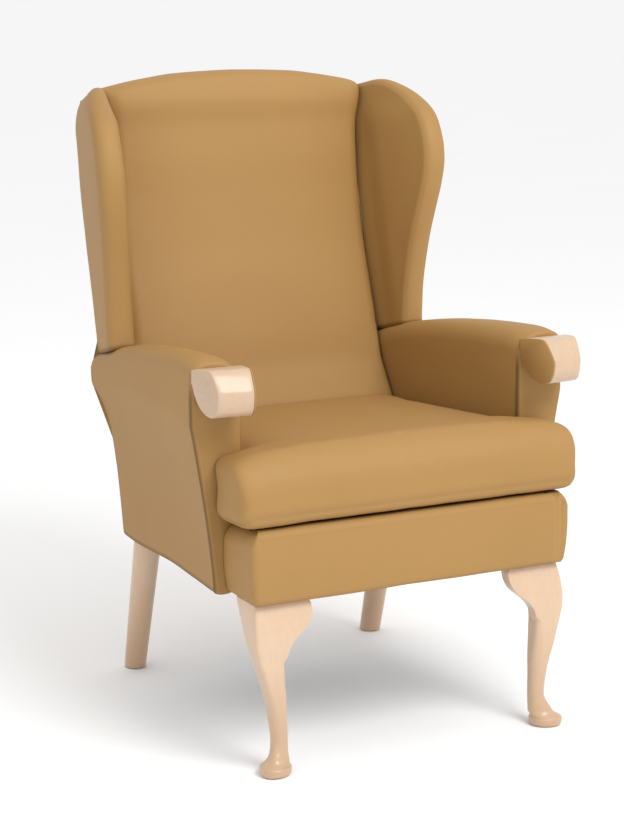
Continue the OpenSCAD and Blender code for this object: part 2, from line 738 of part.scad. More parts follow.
// Frame of a wing's plywood, hinged outward from the post
batten_w = 8;
ply_foot = 4;
ply_flare = (wing_in_flare + wing_out_flare) / 2;
module ply_frame() {
    side_frame() rake_frame() translate([batten_w, -wing_d0, 0]) rotate([0, 0, ply_flare]) children();
}
function ply_outline(grow) =
    let (s0 = wing_foot_s + ply_foot - grow, rear = grow - wing_ply_t * tan(ply_flare) - fit,
         front = [for (t = [0, 0.15, 0.306, 0.431, 0.525, 0.611, 0.709, 0.801, 0.869, 0.92])
             let (s = wing_foot_s + wing_len * t)
             [-(wing_edge(s) - wing_d0 - wing_edge_pad + grow), max(s0, s - wing_edge_pad * t + grow)]],
         top = wing_foot_s + wing_len - 1.1 * wing_edge_pad + grow)
    concat([[rear, s0]], front, [[-0.3 * wing_reach, top], [rear, top]]);
module wing_board() {
    ply_frame() prism_x(ply_outline(0), 0, wing_ply_t);
}
module wing_board_left() {
    color(raw_wood) left_side() wing_board();
}
module wing_board_right() {
    color(raw_wood) right_side() wing_board();
}
batten_len = wing_len - wing_top_drop;
module wing_batten() {
    side_frame() rake_frame()
        prism_z([[0, -wing_d0], [batten_w, -wing_d0],
                 [batten_w + tan(ply_flare) * post_d, -wing_d0 - post_d], [0, -wing_d0 - post_d]],
                wing_foot_s + ply_foot, wing_foot_s + batten_len);
}
module wing_batten_left() {
    color(raw_wood) left_side() wing_batten();
}
module wing_batten_right() {
    color(raw_wood) right_side() wing_batten();
}
module inside_wing() {
    difference() {
        wing();
        ply_frame() prism_x(ply_outline(fit), -fit, wing_ply_t + fit);
        ply_frame() translate([wing_ply_t, -big / 2, -big / 2]) cube(big);
        side_frame() rake_frame()
            prism_z([[-big, overrun], [batten_w, overrun], [batten_w, -wing_d0],
                     [batten_w + tan(ply_flare) * post_d, -wing_d0 - post_d - fit],
                     [-big, -wing_d0 - post_d - fit]],
                    wing_foot_s - overrun, wing_foot_s + batten_len + fit);
    }
}
module inside_wing_left() {
    color(leather) left_side() inside_wing();
}
module inside_wing_right() {
    color(leather) right_side() inside_wing();
}
module outside_wing() {
    difference() {
        wing();
        ply_frame() translate([wing_ply_t + fit - big, -big / 2, -big / 2]) cube(big);
    }
}
module outside_wing_left() {
    color(leather) left_side() outside_wing();
}
module outside_wing_right() {
    color(leather) right_side() outside_wing();
}

// Padded back: depth of its front face at the sides, as shares of the back's length and
// of its thickness, and the swell of its middle
pad_d0 = web_d0 + web_t + fit;
back_side_shares = [[0.106, 0.714], [0.162, 0.878], [0.219, 1], [0.269, 0.867], [0.33, 0.714],
                    [0.405, 0.673], [0.513, 0.612], [0.611, 0.561], [0.708, 0.592],
                    [0.803, 0.704], [0.871, 0.796], [0.932, 0.939], [1, 0.939]];
back_swell_shares = [[0.106, 0], [0.219, 0.08], [0.4, 0.22], [0.7, 0.24], [0.9, 0.16], [1, 0.1]];
crown_r = 42;
side_r = 20;
arm_clear = 3.5;
wing_clear = 1;
wing_blend = 30;
function pad_half_w(s) =
    let (y = rake_y(s, pad_d0), t = clamp((s - wing_foot_s) / wing_blend + 1 / 3))
    plane_x(y) + lerp(-arm_pad_rear - arm_clear, 0, t);
function pad_depth(x, s, half_w) =
    back_t * (along(s / back_len, back_side_shares)
              + along(s / back_len, back_swell_shares) * (1 - pow(x / half_w, 2)));
function pad_face(x, s, half_w, side) =
    let (front = pad_depth(x, s, half_w), rear = wing_d0, mid = (front + rear) / 2,
         drop = crown_at(x, half_w) - s,
         side_w = rounding(half_w - abs(x) + 0.2 * side_r, side_r))
    side > 0 ? mid + (front - mid) * min(rounding(drop, crown_r), 0.45 + 0.55 * side_w)
             : mid - (mid - rear) * rounding(drop, crown_pad);
// The sides follow the inner faces of the wings
function pad_x(t, half_w, s, d) =
    t * half_w + sign(t) * pow(abs(t), 12) * clamp((s - wing_foot_s) / wing_blend)
    * max(0, wing_in(d) - wing_clear);
pad_x_shares = [-1, -0.965, -0.9, -0.75, -0.5, -0.25, 0, 0.25, 0.5, 0.75, 0.9, 0.965, 1];
// Half width that the crown still reaches at a height, found by halving
function crown_half_w(s, half_w, lo = 0, hi = 1, steps = 12) =
    steps == 0 ? lo * half_w
    : let (m = (lo + hi) / 2)
      crown_at(m * half_w, half_w) > s ? crown_half_w(s, half_w, m, hi, steps - 1)
                                       : crown_half_w(s, half_w, lo, m, steps - 1);
// Set-in of the pad's rear edge, where the wings run in behind it
pad_rear_in = tan(side_taper) * pad_d0 + wing_clear;
function pad_ring(s) =
    let (full = pad_half_w(s), half_w = min(full, crown_half_w(s, full)))
    concat([for (t = pad_x_shares) let (d = pad_face(t * half_w, s, full, 1))
                [pad_x(t, half_w, s, d), rake_y(s, d), rake_z(s, d)]],
           [for (t = [1, 0.5, 0, -0.5, -1])
               let (x = t * (half_w - pad_rear_in), d = pad_face(x, s, full, -1))
                [x, rake_y(s, d), rake_z(s, d)]]);
pad_station_shares = [0.106, 0.162, 0.219, 0.269, 0.33, 0.37, 0.405, 0.46, 0.513, 0.611, 0.708, 0.803,
                      0.871, 0.915, 0.945, 0.965, 0.98, 0.992, 0.9985];
module inside_back() {
    color(leather) place() difference() {
        loft([for (t = pad_station_shares) pad_ring(t * back_len)]);
        rake_frame() translate([-big / 2, -pad_d0, -big]) cube([big, big, big + post_len + fit]);
        rake_frame() prism_y(concat([[-post_in_x(0), -overrun], [post_in_x(0), -overrun]],
                                    top_arch(fit)), -back_rail_d1 - fit, overrun);
    }
}

// Panel that closes the back of the chair, from the underside to the crown
function outside_back_edge() =
    let (arms = [for (h = [0, 0.4, 0.6, 0.7, 0.8, 0.9, 1])
                    [flare_x(1, h), lerp(under_h, roll_z(1), h)]],
         tops = [for (p = arc(arm_out(1) - edge_rear_r, crest_z(1) - arm_crown - edge_rear_r,
                              edge_rear_r, 0, 60)) p])
    concat([for (p = concat(arms, tops)) let (s = (p[1] - under_h) / cos(rake))
               [plane_x(rake_y(s, 0)) + p[0], s]],
           [for (t = [0.02, 0.3, 0.6, 0.85, 0.92, 0.97]) let (s = wing_foot_s + wing_len * t)
               [plane_x(rake_y(s, 0)) + wing_out(0, s), s]],
           [let (s = wing_foot_s + wing_len) [plane_x(rake_y(s, 0)) + 0.45 * wing_rear_w, s]]);
module outside_back() {
    edge = outside_back_edge();
    half_w = pad_half_w(back_len);
    top = [for (i = [10 : -1 : -10]) let (x = 0.98 * half_w * i / 10)
        [x, crown_at(x, half_w) - (back_len - outside_back_len)]];
    color(leather_shade) place() rake_frame()
        prism_y(concat(edge, top, reversed([for (p = edge) [-p[0], p[1]]])), -back_cover_t, 0);
}

// Padded border across the front of the seat, returned along both sides to the arms
border_foot_w = 6;
border_side_w = 14;
border_edge_r = 14;
border_corner_r = 32;
border_top = deck_z(border_edge_r);
module front_border() {
    x0 = plane_x(0) + border_foot_w;
    x1 = plane_x(0) + border_side_w;
    front = concat([[x0, under_h]],
                   arc(x1 - border_corner_r, border_top - border_corner_r, border_corner_r, 0, 90));
    y1 = arm_set - fit;
    color(leather) place() difference() {
        intersection() {
            prism_y(concat(front, reversed([for (p = front) [-p[0], p[1]]])), 0, y1);
            prism_x(concat([[0, under_h]], arc(border_edge_r, border_top - border_edge_r,
                                               border_edge_r, 180, 90),
                           [[y1, deck_z(y1)], [y1, under_h]]), -seat_w, seat_w);
        }
        prism_x([[rail_y0 - fit, under_h - overrun], [big, under_h - overrun],
                 [big, border_top + overrun], [deck_y0, border_top + overrun],
                 [deck_y0, cross_rail_z(deck_y0) + fit],
                 [rail_y0 - fit, cross_rail_z(rail_y0) + fit]],
                -plane_x(y1) , plane_x(y1));
        prism_z([[-(plane_x(rail_y0) + fit), rail_y0 - fit], [plane_x(rail_y0) + fit, rail_y0 - fit],
                 [plane_x(y1) + fit, y1 + fit], [-(plane_x(y1) + fit), y1 + fit]],
                under_h - overrun, side_rail_z(0) + fit);
    }
}

// Cloth tacked under the frame
dust_t = 1.2;
module dust_cover() {
    inset = 4;
    front = [[leg_head_x0 - leg_ear_w - inset, rail_y0 + inset],
             [leg_head_x0 - leg_ear_w - inset, leg_top_y + leg_head_d + inset],
             [plane_x(leg_head_d + arm_set / 2) - inset, leg_top_y + leg_head_d + inset]];
    rear = [[plane_x(back_rail_y0) - inset, rear_leg_y - rear_leg_d / 2 - inset],
            [rear_leg_x - rear_leg_d / 2 - inset, rear_leg_y - rear_leg_d / 2 - inset],
            [rear_leg_x - rear_leg_d / 2 - inset, body_d - border_t]];
    edge = concat(front, rear);
    color(cambric) place()
        prism_z(concat(edge, reversed([for (p = edge) [-p[0], p[1]]])), under_h - dust_t, under_h);
}

// Front leg: a curved leg whose square head swells to a knee and falls to a pad foot.
// Each row holds a height share, the middle's offset across and in depth, the width across
// and in depth, and the radii of the ridge and of the other edges, as shares of the size that
// the stretch of leg follows: its head, its ankle or its pad.
leg_floor = glide_h;
ankle_in = 11;
ankle_back = 10;
head_row_shares = [
    [1, 0, 0, 1, 1, 0.044, 0.089], [0.935, 0.044, -0.153, 1.089, 0.92, 0.044, 0.089],
    [0.87, 0.078, -0.297, 1.156, 0.81, 0.067, 0.111], [0.8, 0.096, -0.415, 1.189, 0.69, 0.078, 0.156],
    [0.74, 0.1, -0.483, 1.133, 0.61, 0.1, 0.2], [0.68, 0.073, -0.517, 1.056, 0.58, 0.111, 0.244],
    [0.6, 0, -0.534, 0.933, 0.62, 0.133, 0.289]
];
ankle_row_shares = [
    [0.52, 0.375, 0, 1.34, 1.34, 0.25, 0.5], [0.42, 0.196, 0.036, 1.22, 1.22, 0.357, 0.55],
    [0.31, 0.089, 0.036, 1.09, 1.09, 0.5, 0.52], [0.2, 0, 0, 1, 1, 0.48, 0.48],
    [0.14, 0.018, -0.054, 1.03, 1.03, 0.5, 0.5], [0.1, 0.089, -0.107, 1.13, 1.13, 0.55, 0.55],
    [0.072, 0.179, -0.196, 1.31, 1.31, 0.65, 0.65]
];
pad_row_shares = [
    [0.048, -0.056, 0.046, 0.83, 0.83, 0.41, 0.41], [0.028, 0, 0, 0.96, 0.96, 0.475, 0.475],
    [0.012, 0, 0, 1, 1, 0.495, 0.495], [0, 0, 0, 0.93, 0.93, 0.46, 0.46]
];
function leg_row(p, cx, cy, w, d) =
    let (x = cx + p[1] * w, y = cy + p[2] * d)
    [lerp(leg_floor, under_h, p[0]), x - p[3] * w / 2, x + p[3] * w / 2,
     y - p[4] * d / 2, y + p[4] * d / 2, p[5] * w, p[6] * w];
function leg_rows() =
    let (hx = leg_head_x1 - leg_head_w / 2, hy = leg_top_y + leg_head_d / 2)
    concat([for (p = head_row_shares) leg_row(p, hx, hy, leg_head_w, leg_head_d)],
           [for (p = ankle_row_shares)
               leg_row(p, foot_x - ankle_in, foot_y + ankle_back, ankle_w, ankle_w)],
           [for (p = pad_row_shares) leg_row(p, foot_x, foot_y, pad_foot_d, pad_foot_d)]);
function leg_ring(row) =
    let (x0 = row[1], x1 = row[2], y0 = row[3], y1 = row[4], q = row[5], r = row[6],
         corners = concat(arc(x1 - q, y0 + q, q, -90, 0), arc(x1 - r, y1 - r, r, 0, 90),
                          arc(x0 + r, y1 - r, r, 90, 180), arc(x0 + r, y0 + r, r, 180, 270)))
    [for (p = corners) [p[0], p[1], row[0]]];
module front_leg() {
    difference() {
        loft([for (row = reversed(leg_rows())) leg_ring(row)]);
        leg_bolt_holes();
    }
}
module front_leg_left() {
    color(beech) left_side() front_leg();
}
module front_leg_right() {
    color(beech) right_side() front_leg();
}

// Ear glued beside the head of a front leg, under the front border
ear_shares = [[0, 0], [1, 0], [1, 0.16], [0.96, 0.3], [0.86, 0.43], [0.7, 0.56], [0.48, 0.68],
              [0.27, 0.8], [0.12, 0.91], [0, 1]];
ear_set = 2;
ear_t = 23;
ear_lean = 15;
module front_leg_ear() {
    z1 = under_h;
    y0 = leg_top_y + ear_set;
    intersection() {
        prism_y([for (p = ear_shares)
                    [leg_head_x0 - fit / 3 - p[0] * leg_ear_w, z1 - p[1] * leg_ear_h]],
                -leg_head_d, leg_head_d);
        prism_x([[y0, z1], [y0 + ear_t, z1], [y0 + ear_t - ear_lean, z1 - leg_ear_h],
                 [y0 - ear_lean, z1 - leg_ear_h], [y0 - 0.88 * ear_lean, z1 - 0.6 * leg_ear_h]],
                0, seat_w);
    }
}
module front_leg_ear_left() {
    color(beech) left_side() front_leg_ear();
}
module front_leg_ear_right() {
    color(beech) right_side() front_leg_ear();
}

// Rear leg: a turned taper that splays to the back
module rear_leg() {
    leg_len = under_h / cos(rear_splay);
    spare = rear_leg_d;
    difference() {
        translate([rear_leg_x, rear_leg_y, under_h]) rotate([180 + rear_splay, 0, 0])
            translate([0, 0, -spare])
                cylinder(h = leg_len + 2 * spare,
                         d1 = lerp(rear_leg_d, rear_foot_d, -spare / leg_len),
                         d2 = lerp(rear_leg_d, rear_foot_d, 1 + spare / leg_len), $fn = 64);
        translate([0, 0, under_h]) cylinder(h = big, r = big, $fn = 8);
        translate([0, 0, leg_floor - big]) cylinder(h = big, r = big, $fn = 8);
        leg_bolt_holes();
    }
}
module rear_leg_left() {
    color(beech) left_side() rear_leg();
}
module rear_leg_right() {
    color(beech) right_side() rear_leg();
}

module leg_bolts() {
    color(steel) place() for (m = [0, 1]) mirror([m, 0, 0]) for (p = [front_bolt, rear_bolt])
        translate([p[0], p[1], under_h - leg_bolt_half + bolt_clear])
            cylinder(h = 2 * (leg_bolt_half - bolt_clear), d = bolt_d, $fn = 32);
}

rear_foot_y = rear_leg_y + (under_h - glide_h) * tan(rear_splay);
module floor_glides() {
    color(nylon) place() for (m = [0, 1]) mirror([m, 0, 0])
        for (p = [[foot_x, foot_y], [rear_leg_x, rear_foot_y]])
            translate([p[0], p[1], 0]) cylinder(h = glide_h, d = glide_d, $fn = 48);
}

// Loose seat cushion. u runs from 0 at its front to 1 at its rear.
cushion_gap = 1.2;
cushion_y0 = -cushion_over;
cushion_lean = 6;
cushion_back_gap = 8;
cushion_rear_y = rear_y(deck_z(back_rail_y0), 0.878 * back_t) - cushion_back_gap;
ear_gap = 5;
ear_front_r = 34;
ear_front_in = 22;
ear_rear_r = 12;
ear_rear_in = 6;
rear_corner_r = 22;
rear_corner_in = 10;
front_lift = 14;
edge_turn = 16;
rear_fall = 22;
cushion_edge_r = 18;
border_tuck = 2.5;
front_share = 0.34;
rear_lift = 9;
function cushion_zb(y) = deck_z(y) + cushion_foot;
function cushion_half_w(y) =
    y < arm_set - ear_gap
        ? seat_w / 2 + ear_w
          - ear_front_in * (1 - rounding(y - cushion_y0 + 0.12 * ear_front_r, ear_front_r))
          - ear_rear_in * (1 - rounding(arm_set - ear_gap + 0.08 * ear_rear_r - y, ear_rear_r))
        : let (v = clamp((y - arm_y0) / (rear_y(deck_z(y), arm_d1) - arm_y0)))
          plane_x(y) + arm_in(v) - cushion_gap
          - rear_corner_in * (1 - rounding(cushion_rear_y - y + 0.18 * rear_corner_r, rear_corner_r));
function cushion_ring(y) =
    let (hw = cushion_half_w(y), e = rounding(y - cushion_y0, cushion_front_r),
         q = rounding(cushion_rear_y - y + 0.125 * edge_turn, edge_turn),
         zb = cushion_zb(y) + front_lift * (1 - rounding(y - cushion_y0, edge_turn))
              + rear_lift * (1 - q),
         h = cushion_h * (front_share + (1 - front_share) * e) - rear_fall * (1 - q),
         back_off = clamp((y / cushion_rear_y - 0.45) / 0.75),
         crown = cushion_crown * e * q * (1 - 0.5 * pow(back_off, 2)),
         r = min(cushion_edge_r, h / 3), zt = zb + h, tuck = border_tuck * (0.3 + 0.7 * e),
         section = concat(arc(-hw + r, zt - r, r, 180, 90, 3),
             [for (t = [-0.7, -0.4, 0, 0.4, 0.7]) [t * hw, zt + crown * (1 - t * t)]],
             arc(hw - r, zt - r, r, 90, 0, 3), [[hw - tuck, (zb + zt) / 2]],
             arc(hw - r, zb + r, r, 0, -90, 3), arc(-hw + r, zb + r, r, -90, -180, 3),
             [[-hw + tuck, (zb + zt) / 2]]))
    [for (p = section) [p[0], y + tan(cushion_lean) * (p[1] - zb) * clamp(y / cushion_rear_y), p[1]]];
cushion_front_shares = [0, 0.07, 0.2, 0.42, 0.7, 1];
module cushion_form() {
    y_ear = arm_set - ear_gap;
    ys = concat([for (t = cushion_front_shares) cushion_y0 + t * cushion_front_r],
                [0.62 * y_ear], [for (t = [1, 0.42, 0.04, -0.04]) y_ear - t * ear_rear_r],
                [for (t = [0.15, 0.32, 0.5, 0.68, 0.83, 0.93, 0.97, 0.99, 1])
                    lerp(y_ear, cushion_rear_y, t)]);
    loft([for (y = ys) cushion_ring(y)]);
}
core_in = 14;
core_front_in = 30;
core_corner_in = 10;
core_up = 8;
core_less = 26;
module cushion_core_block(grow) {
    k = cos(deck_fall);
    y0 = (cushion_y0 + core_front_in - grow) / k;
    y1 = (arm_set - ear_gap - core_in + grow) / k;
    y2 = (cushion_rear_y - core_in + grow) / k;
    ear_x = seat_w / 2 + ear_w - core_in + grow;
    plan = [[ear_x - core_corner_in, y0], [ear_x, 2 * core_in], [ear_x, y1],
            [cushion_half_w(y1 + 2 * ear_gap + core_in) - core_in + grow, y1],
            [cushion_half_w(y2 - core_in) - core_in + grow, y2]];
    translate([0, 0, cushion_zb(0) + core_up - grow]) rotate([-deck_fall, 0, 0])
        linear_extrude(cushion_h - core_less + 2 * grow)
            polygon(concat(plan, reversed([for (p = plan) [-p[0], p[1]]])));
}
module cushion_cover() {
    color(leather) place() difference() {
        cushion_form();
        cushion_core_block(fit);
    }
}
module cushion_core() {
    color(foam) place() cushion_core_block(0);
}

// Zip across the cushion's rear border, and its slider
zip_t = 1.6;
slider_w = 14;
slider_t = 3.4;
module zip_plane() {
    translate([0, cushion_rear_y, cushion_zb(cushion_rear_y) + rear_lift * (1 - rounding(0.125, 1))])
        rotate([-cushion_lean, 0, 0]) translate([0, fit / 2, 0.42 * cushion_h]) children();
}
module cushion_zip() {
    color(steel) place() zip_plane()
        translate([-zip_len / 2, 0, -zip_w / 2]) cube([zip_len, zip_t, zip_w]);
}
module zip_slider() {
    color(steel) place() zip_plane() translate([-zip_len / 2 + slider_w, zip_t + fit, 0]) {
        translate([0, 0, -slider_w / 2]) cube([slider_w, slider_t, slider_w]);
        translate([slider_w / 4, slider_t / 3, -2 * slider_w])
            cube([slider_w / 2, slider_t / 2, 1.6 * slider_w]);
    }
}

seat_front_rail();
seat_back_rail();
seat_side_rail_left();
seat_side_rail_right();
corner_blocks();
back_post_left();
back_post_right();
back_top_rail();
back_lower_rail();
back_webbing();
seat_springs();
spring_clips();
seat_deck();
arm_front_board_left();
arm_front_board_right();
arm_top_rail_left();
arm_top_rail_right();
arm_base_rail_left();
arm_base_rail_right();
wing_batten_left();
wing_batten_right();
wing_board_left();
wing_board_right();
front_leg_left();
front_leg_right();
front_leg_ear_left();
front_leg_ear_right();
rear_leg_left();
rear_leg_right();
leg_bolts();
floor_glides();
hand_grip_left();
hand_grip_right();
grip_cheek_left();
grip_cheek_right();
grip_studs();
front_border();
inside_arm_left();
inside_arm_right();
arm_roll_left();
arm_roll_right();
outside_arm_left();
outside_arm_right();
arm_facing_left();
arm_facing_right();
inside_wing_left();
inside_wing_right();
outside_wing_left();
outside_wing_right();
inside_back();
outside_back();
dust_cover();
cushion_cover();
cushion_core();
cushion_zip();
zip_slider();
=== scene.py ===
"""Fireside wing chair: covers, cushion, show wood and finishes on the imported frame."""

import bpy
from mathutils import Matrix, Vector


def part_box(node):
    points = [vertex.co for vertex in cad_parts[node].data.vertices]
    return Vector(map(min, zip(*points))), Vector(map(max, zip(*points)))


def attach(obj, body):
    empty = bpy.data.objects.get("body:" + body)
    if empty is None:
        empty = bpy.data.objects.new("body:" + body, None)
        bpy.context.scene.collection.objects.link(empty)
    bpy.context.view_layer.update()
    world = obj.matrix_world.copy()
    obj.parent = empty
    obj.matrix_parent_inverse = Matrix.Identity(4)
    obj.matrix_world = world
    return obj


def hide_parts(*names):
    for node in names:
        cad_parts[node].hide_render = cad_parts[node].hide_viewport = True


bl_info = {
    "name": "Fireside Wing Chair",
    "version": (1, 0, 0),
    "blender": (4, 5, 0),
    "location": "View3D > Sidebar > Chair",
    "description": "Dresses the chair's frame with its covers, cushion, show wood and finishes",
    "category": "Object",
}

import math

import bpy
import bmesh
import numpy as np
from bpy.props import FloatProperty, FloatVectorProperty, PointerProperty
from mathutils import Matrix, Vector, noise

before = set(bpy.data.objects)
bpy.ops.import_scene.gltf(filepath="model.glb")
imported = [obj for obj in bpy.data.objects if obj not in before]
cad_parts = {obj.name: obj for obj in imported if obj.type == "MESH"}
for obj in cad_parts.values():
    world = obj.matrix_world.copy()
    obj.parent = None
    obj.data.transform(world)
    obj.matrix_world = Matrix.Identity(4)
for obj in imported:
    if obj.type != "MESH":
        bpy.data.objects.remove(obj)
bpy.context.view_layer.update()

# Sizes that the covers share with the frame, in metres, and angles in radians. In the pieces'
# own working frame x runs from the middle, y back from the face of the front border, and z up
# from the floor; make_object moves it to the frame's origin.
MIDDLE = 0.363817              # from the border's face to the middle of the chair's depth
UNDER = 0.277                  # underside of the seat box
BODY_D = 0.562                 # depth at which the back's rear plane meets the underside
SIDE_X = 0.272                 # half the width of the seat box at the arm's front
TAPER = math.radians(2.6)      # the seat box narrows towards the back
RAKE = math.radians(14)        # lean of the back
FALL = math.radians(3.7)       # fall of the seat towards the back
ARM_SET = 0.106                # front face of the arm boards
ARM_Y0 = 0.114                 # front end of the arm's cover, behind its facing
ARM_H, ARM_FALL = 0.660, 0.079           # crest at the arm's front, and its fall to the back
ARM_IN_FRONT, ARM_IN_REAR = 0.015, 0.007  # the inner pad's stand-off, as the cushion meets it
POST_FRONT = 0.0403            # front face of the back posts, from the back's rear plane
BACK_D = 0.0083                # front face of the outside back's panel
BACK_LEN, BACK_T, CROWN_FALL = 0.800, 0.098, 0.022
WING_LEN, WING_REACH = 0.4569, 0.229
WING_CORNER, WING_CORNER_DROP = 0.070, 0.016  # the wing's outer face turns in at its top
DECK_Y, DECK_Z = 0.0265, 0.4005          # a point of the deck's top plane
DECK_T = 0.008
FIT = 0.0003                   # clearance between neighbours
SIDES = (("left", -1), ("right", 1))


def clamp(t):
    """The value, held between 0 and 1."""
    return np.clip(t, 0, 1)


def lerp(a, b, t):
    """The value at a share of the way from a to b."""
    return a + (b - a) * t


def ease(t):
    """Slow start and slow end between 0 and 1."""
    t = clamp(t)
    return t * t * (3 - 2 * t)


def rounding(dist, r):
    """Height of a quarter round of a radius, at a distance from its edge."""
    return np.sqrt(np.maximum(0, 1 - (1 - clamp(dist / r)) ** 2))


def soft_rounding(dist, r):
    """Fuller than a quarter round, as padding is."""
    power = 2.3
    return (1 - (1 - clamp(dist / r)) ** power) ** (1 / power)


def curve(t, table):
    """Smooth curve through a table of pairs, without overshoot."""
    x, y = np.array(table, float).T
    h = np.diff(x)
    d = np.diff(y) / h
    m = np.concatenate([[d[0]], np.zeros(len(x) - 2), [d[-1]]])
    for i in range(1, len(x) - 1):
        if d[i - 1] * d[i] > 0:
            m[i] = 2 * d[i - 1] * d[i] / (d[i - 1] + d[i])
    t = np.clip(t, x[0], x[-1])
    i = np.clip(np.searchsorted(x, t, side="right") - 1, 0, len(x) - 2)
    u = (t - x[i]) / h[i]
    return (y[i] * (1 + 2 * u) * (1 - u) ** 2 + y[i + 1] * u * u * (3 - 2 * u)
            + h[i] * (m[i] * u * (1 - u) ** 2 + m[i + 1] * u * u * (u - 1)))


def spline(points, count, closed=False):
    """Evenly spaced points on a smooth curve through the given ones."""
    p = np.array(points, float)
    if closed:
        p = np.vstack([p[-1], p, p[0], p[1]])
    else:
        p = np.vstack([2 * p[0] - p[1], p, 2 * p[-1] - p[-2]])
    out = []
    for i in range(1, len(p) - 2):
        a, b, c, d = p[i - 1:i + 3]
        t1 = np.linalg.norm(b - a) ** 0.5 + 1e-9
        t2 = t1 + np.linalg.norm(c - b) ** 0.5 + 1e-9
        t3 = t2 + np.linalg.norm(d - c) ** 0.5 + 1e-9
        for t in np.linspace(t1, t2, 16, endpoint=False):
            a1 = (t1 - t) / t1 * a + t / t1 * b
            a2 = (t2 - t) / (t2 - t1) * b + (t - t1) / (t2 - t1) * c
            a3 = (t3 - t) / (t3 - t2) * c + (t - t2) / (t3 - t2) * d
            b1 = (t2 - t) / t2 * a1 + t / t2 * a2
            b2 = (t3 - t) / (t3 - t1) * a2 + (t - t1) / (t3 - t1) * a3
            out.append((t2 - t) / (t2 - t1) * b1 + (t - t1) / (t2 - t1) * b2)
    out.append(p[-2])
    out = np.array(out)
    run = np.concatenate([[0], np.cumsum(np.linalg.norm(np.diff(out, axis=0), axis=1))])
    at = np.linspace(0, run[-1], count, endpoint=not closed)
    return np.stack([np.interp(at, run, out[:, k]) for k in range(out.shape[1])], axis=1)


def across(line):
    """Unit vectors at right angles to a flat line of points."""
    step = np.gradient(line, axis=0)
    out = np.stack([step[:, 1], -step[:, 0]], 1)
    return out / np.maximum(1e-9, np.linalg.norm(out, axis=1))[:, None]


def distance_to(points, line):
    """Distance of each point to a line of points."""
    p, a, b = np.asarray(points, float), np.asarray(line[:-1], float), np.asarray(line[1:], float)
    best = np.full(len(p), 1e9)
    for q, r in zip(a, b):
        d = r - q
        u = clamp(((p - q) @ d) / max(1e-12, d @ d))
        best = np.minimum(best, np.linalg.norm(p - q - u[:, None] * d, axis=1))
    return best


def plane_x(y):
    """Side plane of the seat box, at a depth."""
    return SIDE_X - math.tan(TAPER) * (y - ARM_SET)


def rake_y(s, d):
    """Depth of a point of the leaning back: s up along it, d forward of its rear plane."""
    return BODY_D + s * math.sin(RAKE) - d * math.cos(RAKE)


def rake_z(s, d):
    """Height of a point of the leaning back."""
    return UNDER + s * math.cos(RAKE) + d * math.sin(RAKE)


def rear_y(z, d):
    """Depth of the leaning back at a height, d forward of its rear plane."""
    return BODY_D + math.tan(RAKE) * (z - UNDER) - d / math.cos(RAKE)


def deck_z(y):
    """Top of the deck, on which the cushion lies."""
    return DECK_Z - math.tan(FALL) * (y - DECK_Y)


# ---------------------------------------------------------------------------------------
# Meshes


def rework(mesh, action):
    """Runs an action on a mesh's bmesh and keeps the result."""
    bm = bmesh.new()
    bm.from_mesh(mesh)
    action(bm)
    bm.to_mesh(mesh)
    bm.free()


def make_object(name, points, faces, side=1, painted_shade=None, smooth=True):
    """New mesh from points of the working frame, mirrored for side -1."""
    pts = np.array(points, float).reshape(-1, 3).copy()
    pts[:, 0] *= side
    pts[:, 1] -= MIDDLE
    mesh = bpy.data.meshes.new(name)
    mesh.from_pydata(pts.tolist(), [], [list(map(int, f)) for f in faces])
    mesh.validate()
    rework(mesh, lambda bm: bmesh.ops.recalc_face_normals(bm, faces=bm.faces))
    if smooth:
        mesh.shade_smooth()
    if painted_shade is not None:
        store(mesh, "painted_shade", np.asarray(painted_shade, float).ravel())
    obj = bpy.data.objects.new(name, mesh)
    bpy.context.scene.collection.objects.link(obj)
    return obj


def store(mesh, name, values):
    """Keeps a number for each point, for its material."""
    layer = mesh.attributes.get(name) or mesh.attributes.new(name, "FLOAT", "POINT")
    full = np.zeros(len(mesh.vertices), np.float32)
    full[:len(values)] = values[:len(full)]
    layer.data.foreach_set("value", full)


def loft_faces(rows, columns, wrap, caps):
    """Quads between rows of as many points each, with a face over each end."""
    last = columns if wrap else columns - 1
    faces = [(i * columns + k, (i + 1) * columns + k,
              (i + 1) * columns + (k + 1) % columns, i * columns + (k + 1) % columns)
             for i in range(rows - 1) for k in range(last)]
    if caps:
        faces.append(list(range(columns)))
        faces.append([(rows - 1) * columns + k for k in range(columns - 1, -1, -1)])
    return faces


def loft(name, rings, side=1, painted_shade=None, caps=True, wrap=True):
    """Skin over a row of rings that have as many points each."""
    rings = np.array(rings, float)
    return make_object(name, rings, loft_faces(len(rings), rings.shape[1], wrap, caps), side, painted_shade)


def coordinates(mesh):
    co = np.empty(len(mesh.vertices) * 3)
    mesh.vertices.foreach_get("co", co)
    return co.reshape(-1, 3)


def set_coordinates(obj, co):
    obj.data.vertices.foreach_set("co", np.asarray(co, float).ravel())
    obj.data.update()


def normals(obj):
    out = np.empty(len(obj.data.vertices) * 3)
    obj.data.vertex_normals.foreach_get("vector", out)
    return out.reshape(-1, 3)


def ruffle(obj, height, size, seed):
    """Slight unevenness of hand-stuffed padding under the cover."""
    co, nr = coordinates(obj.data), normals(obj)
    off = Vector((seed * 7.3, seed * 3.1, seed * 5.7))
    lift = np.array([noise.noise(Vector(p) / size + off)
                     + 0.45 * noise.noise(Vector(p) * 2.3 / size + off) for p in co])
    set_coordinates(obj, co + nr * (lift * height)[:, None])


def weld(obj):
    """Joins points that lie in one place."""
    rework(obj.data, lambda bm: bmesh.ops.remove_doubles(bm, verts=bm.verts, dist=1e-6))
    return obj


def refine(obj):
    """One subdivision, for a rounder surface."""
    mod = obj.modifiers.new("Smooth surface", "SUBSURF")
    mod.levels = mod.render_levels = 1


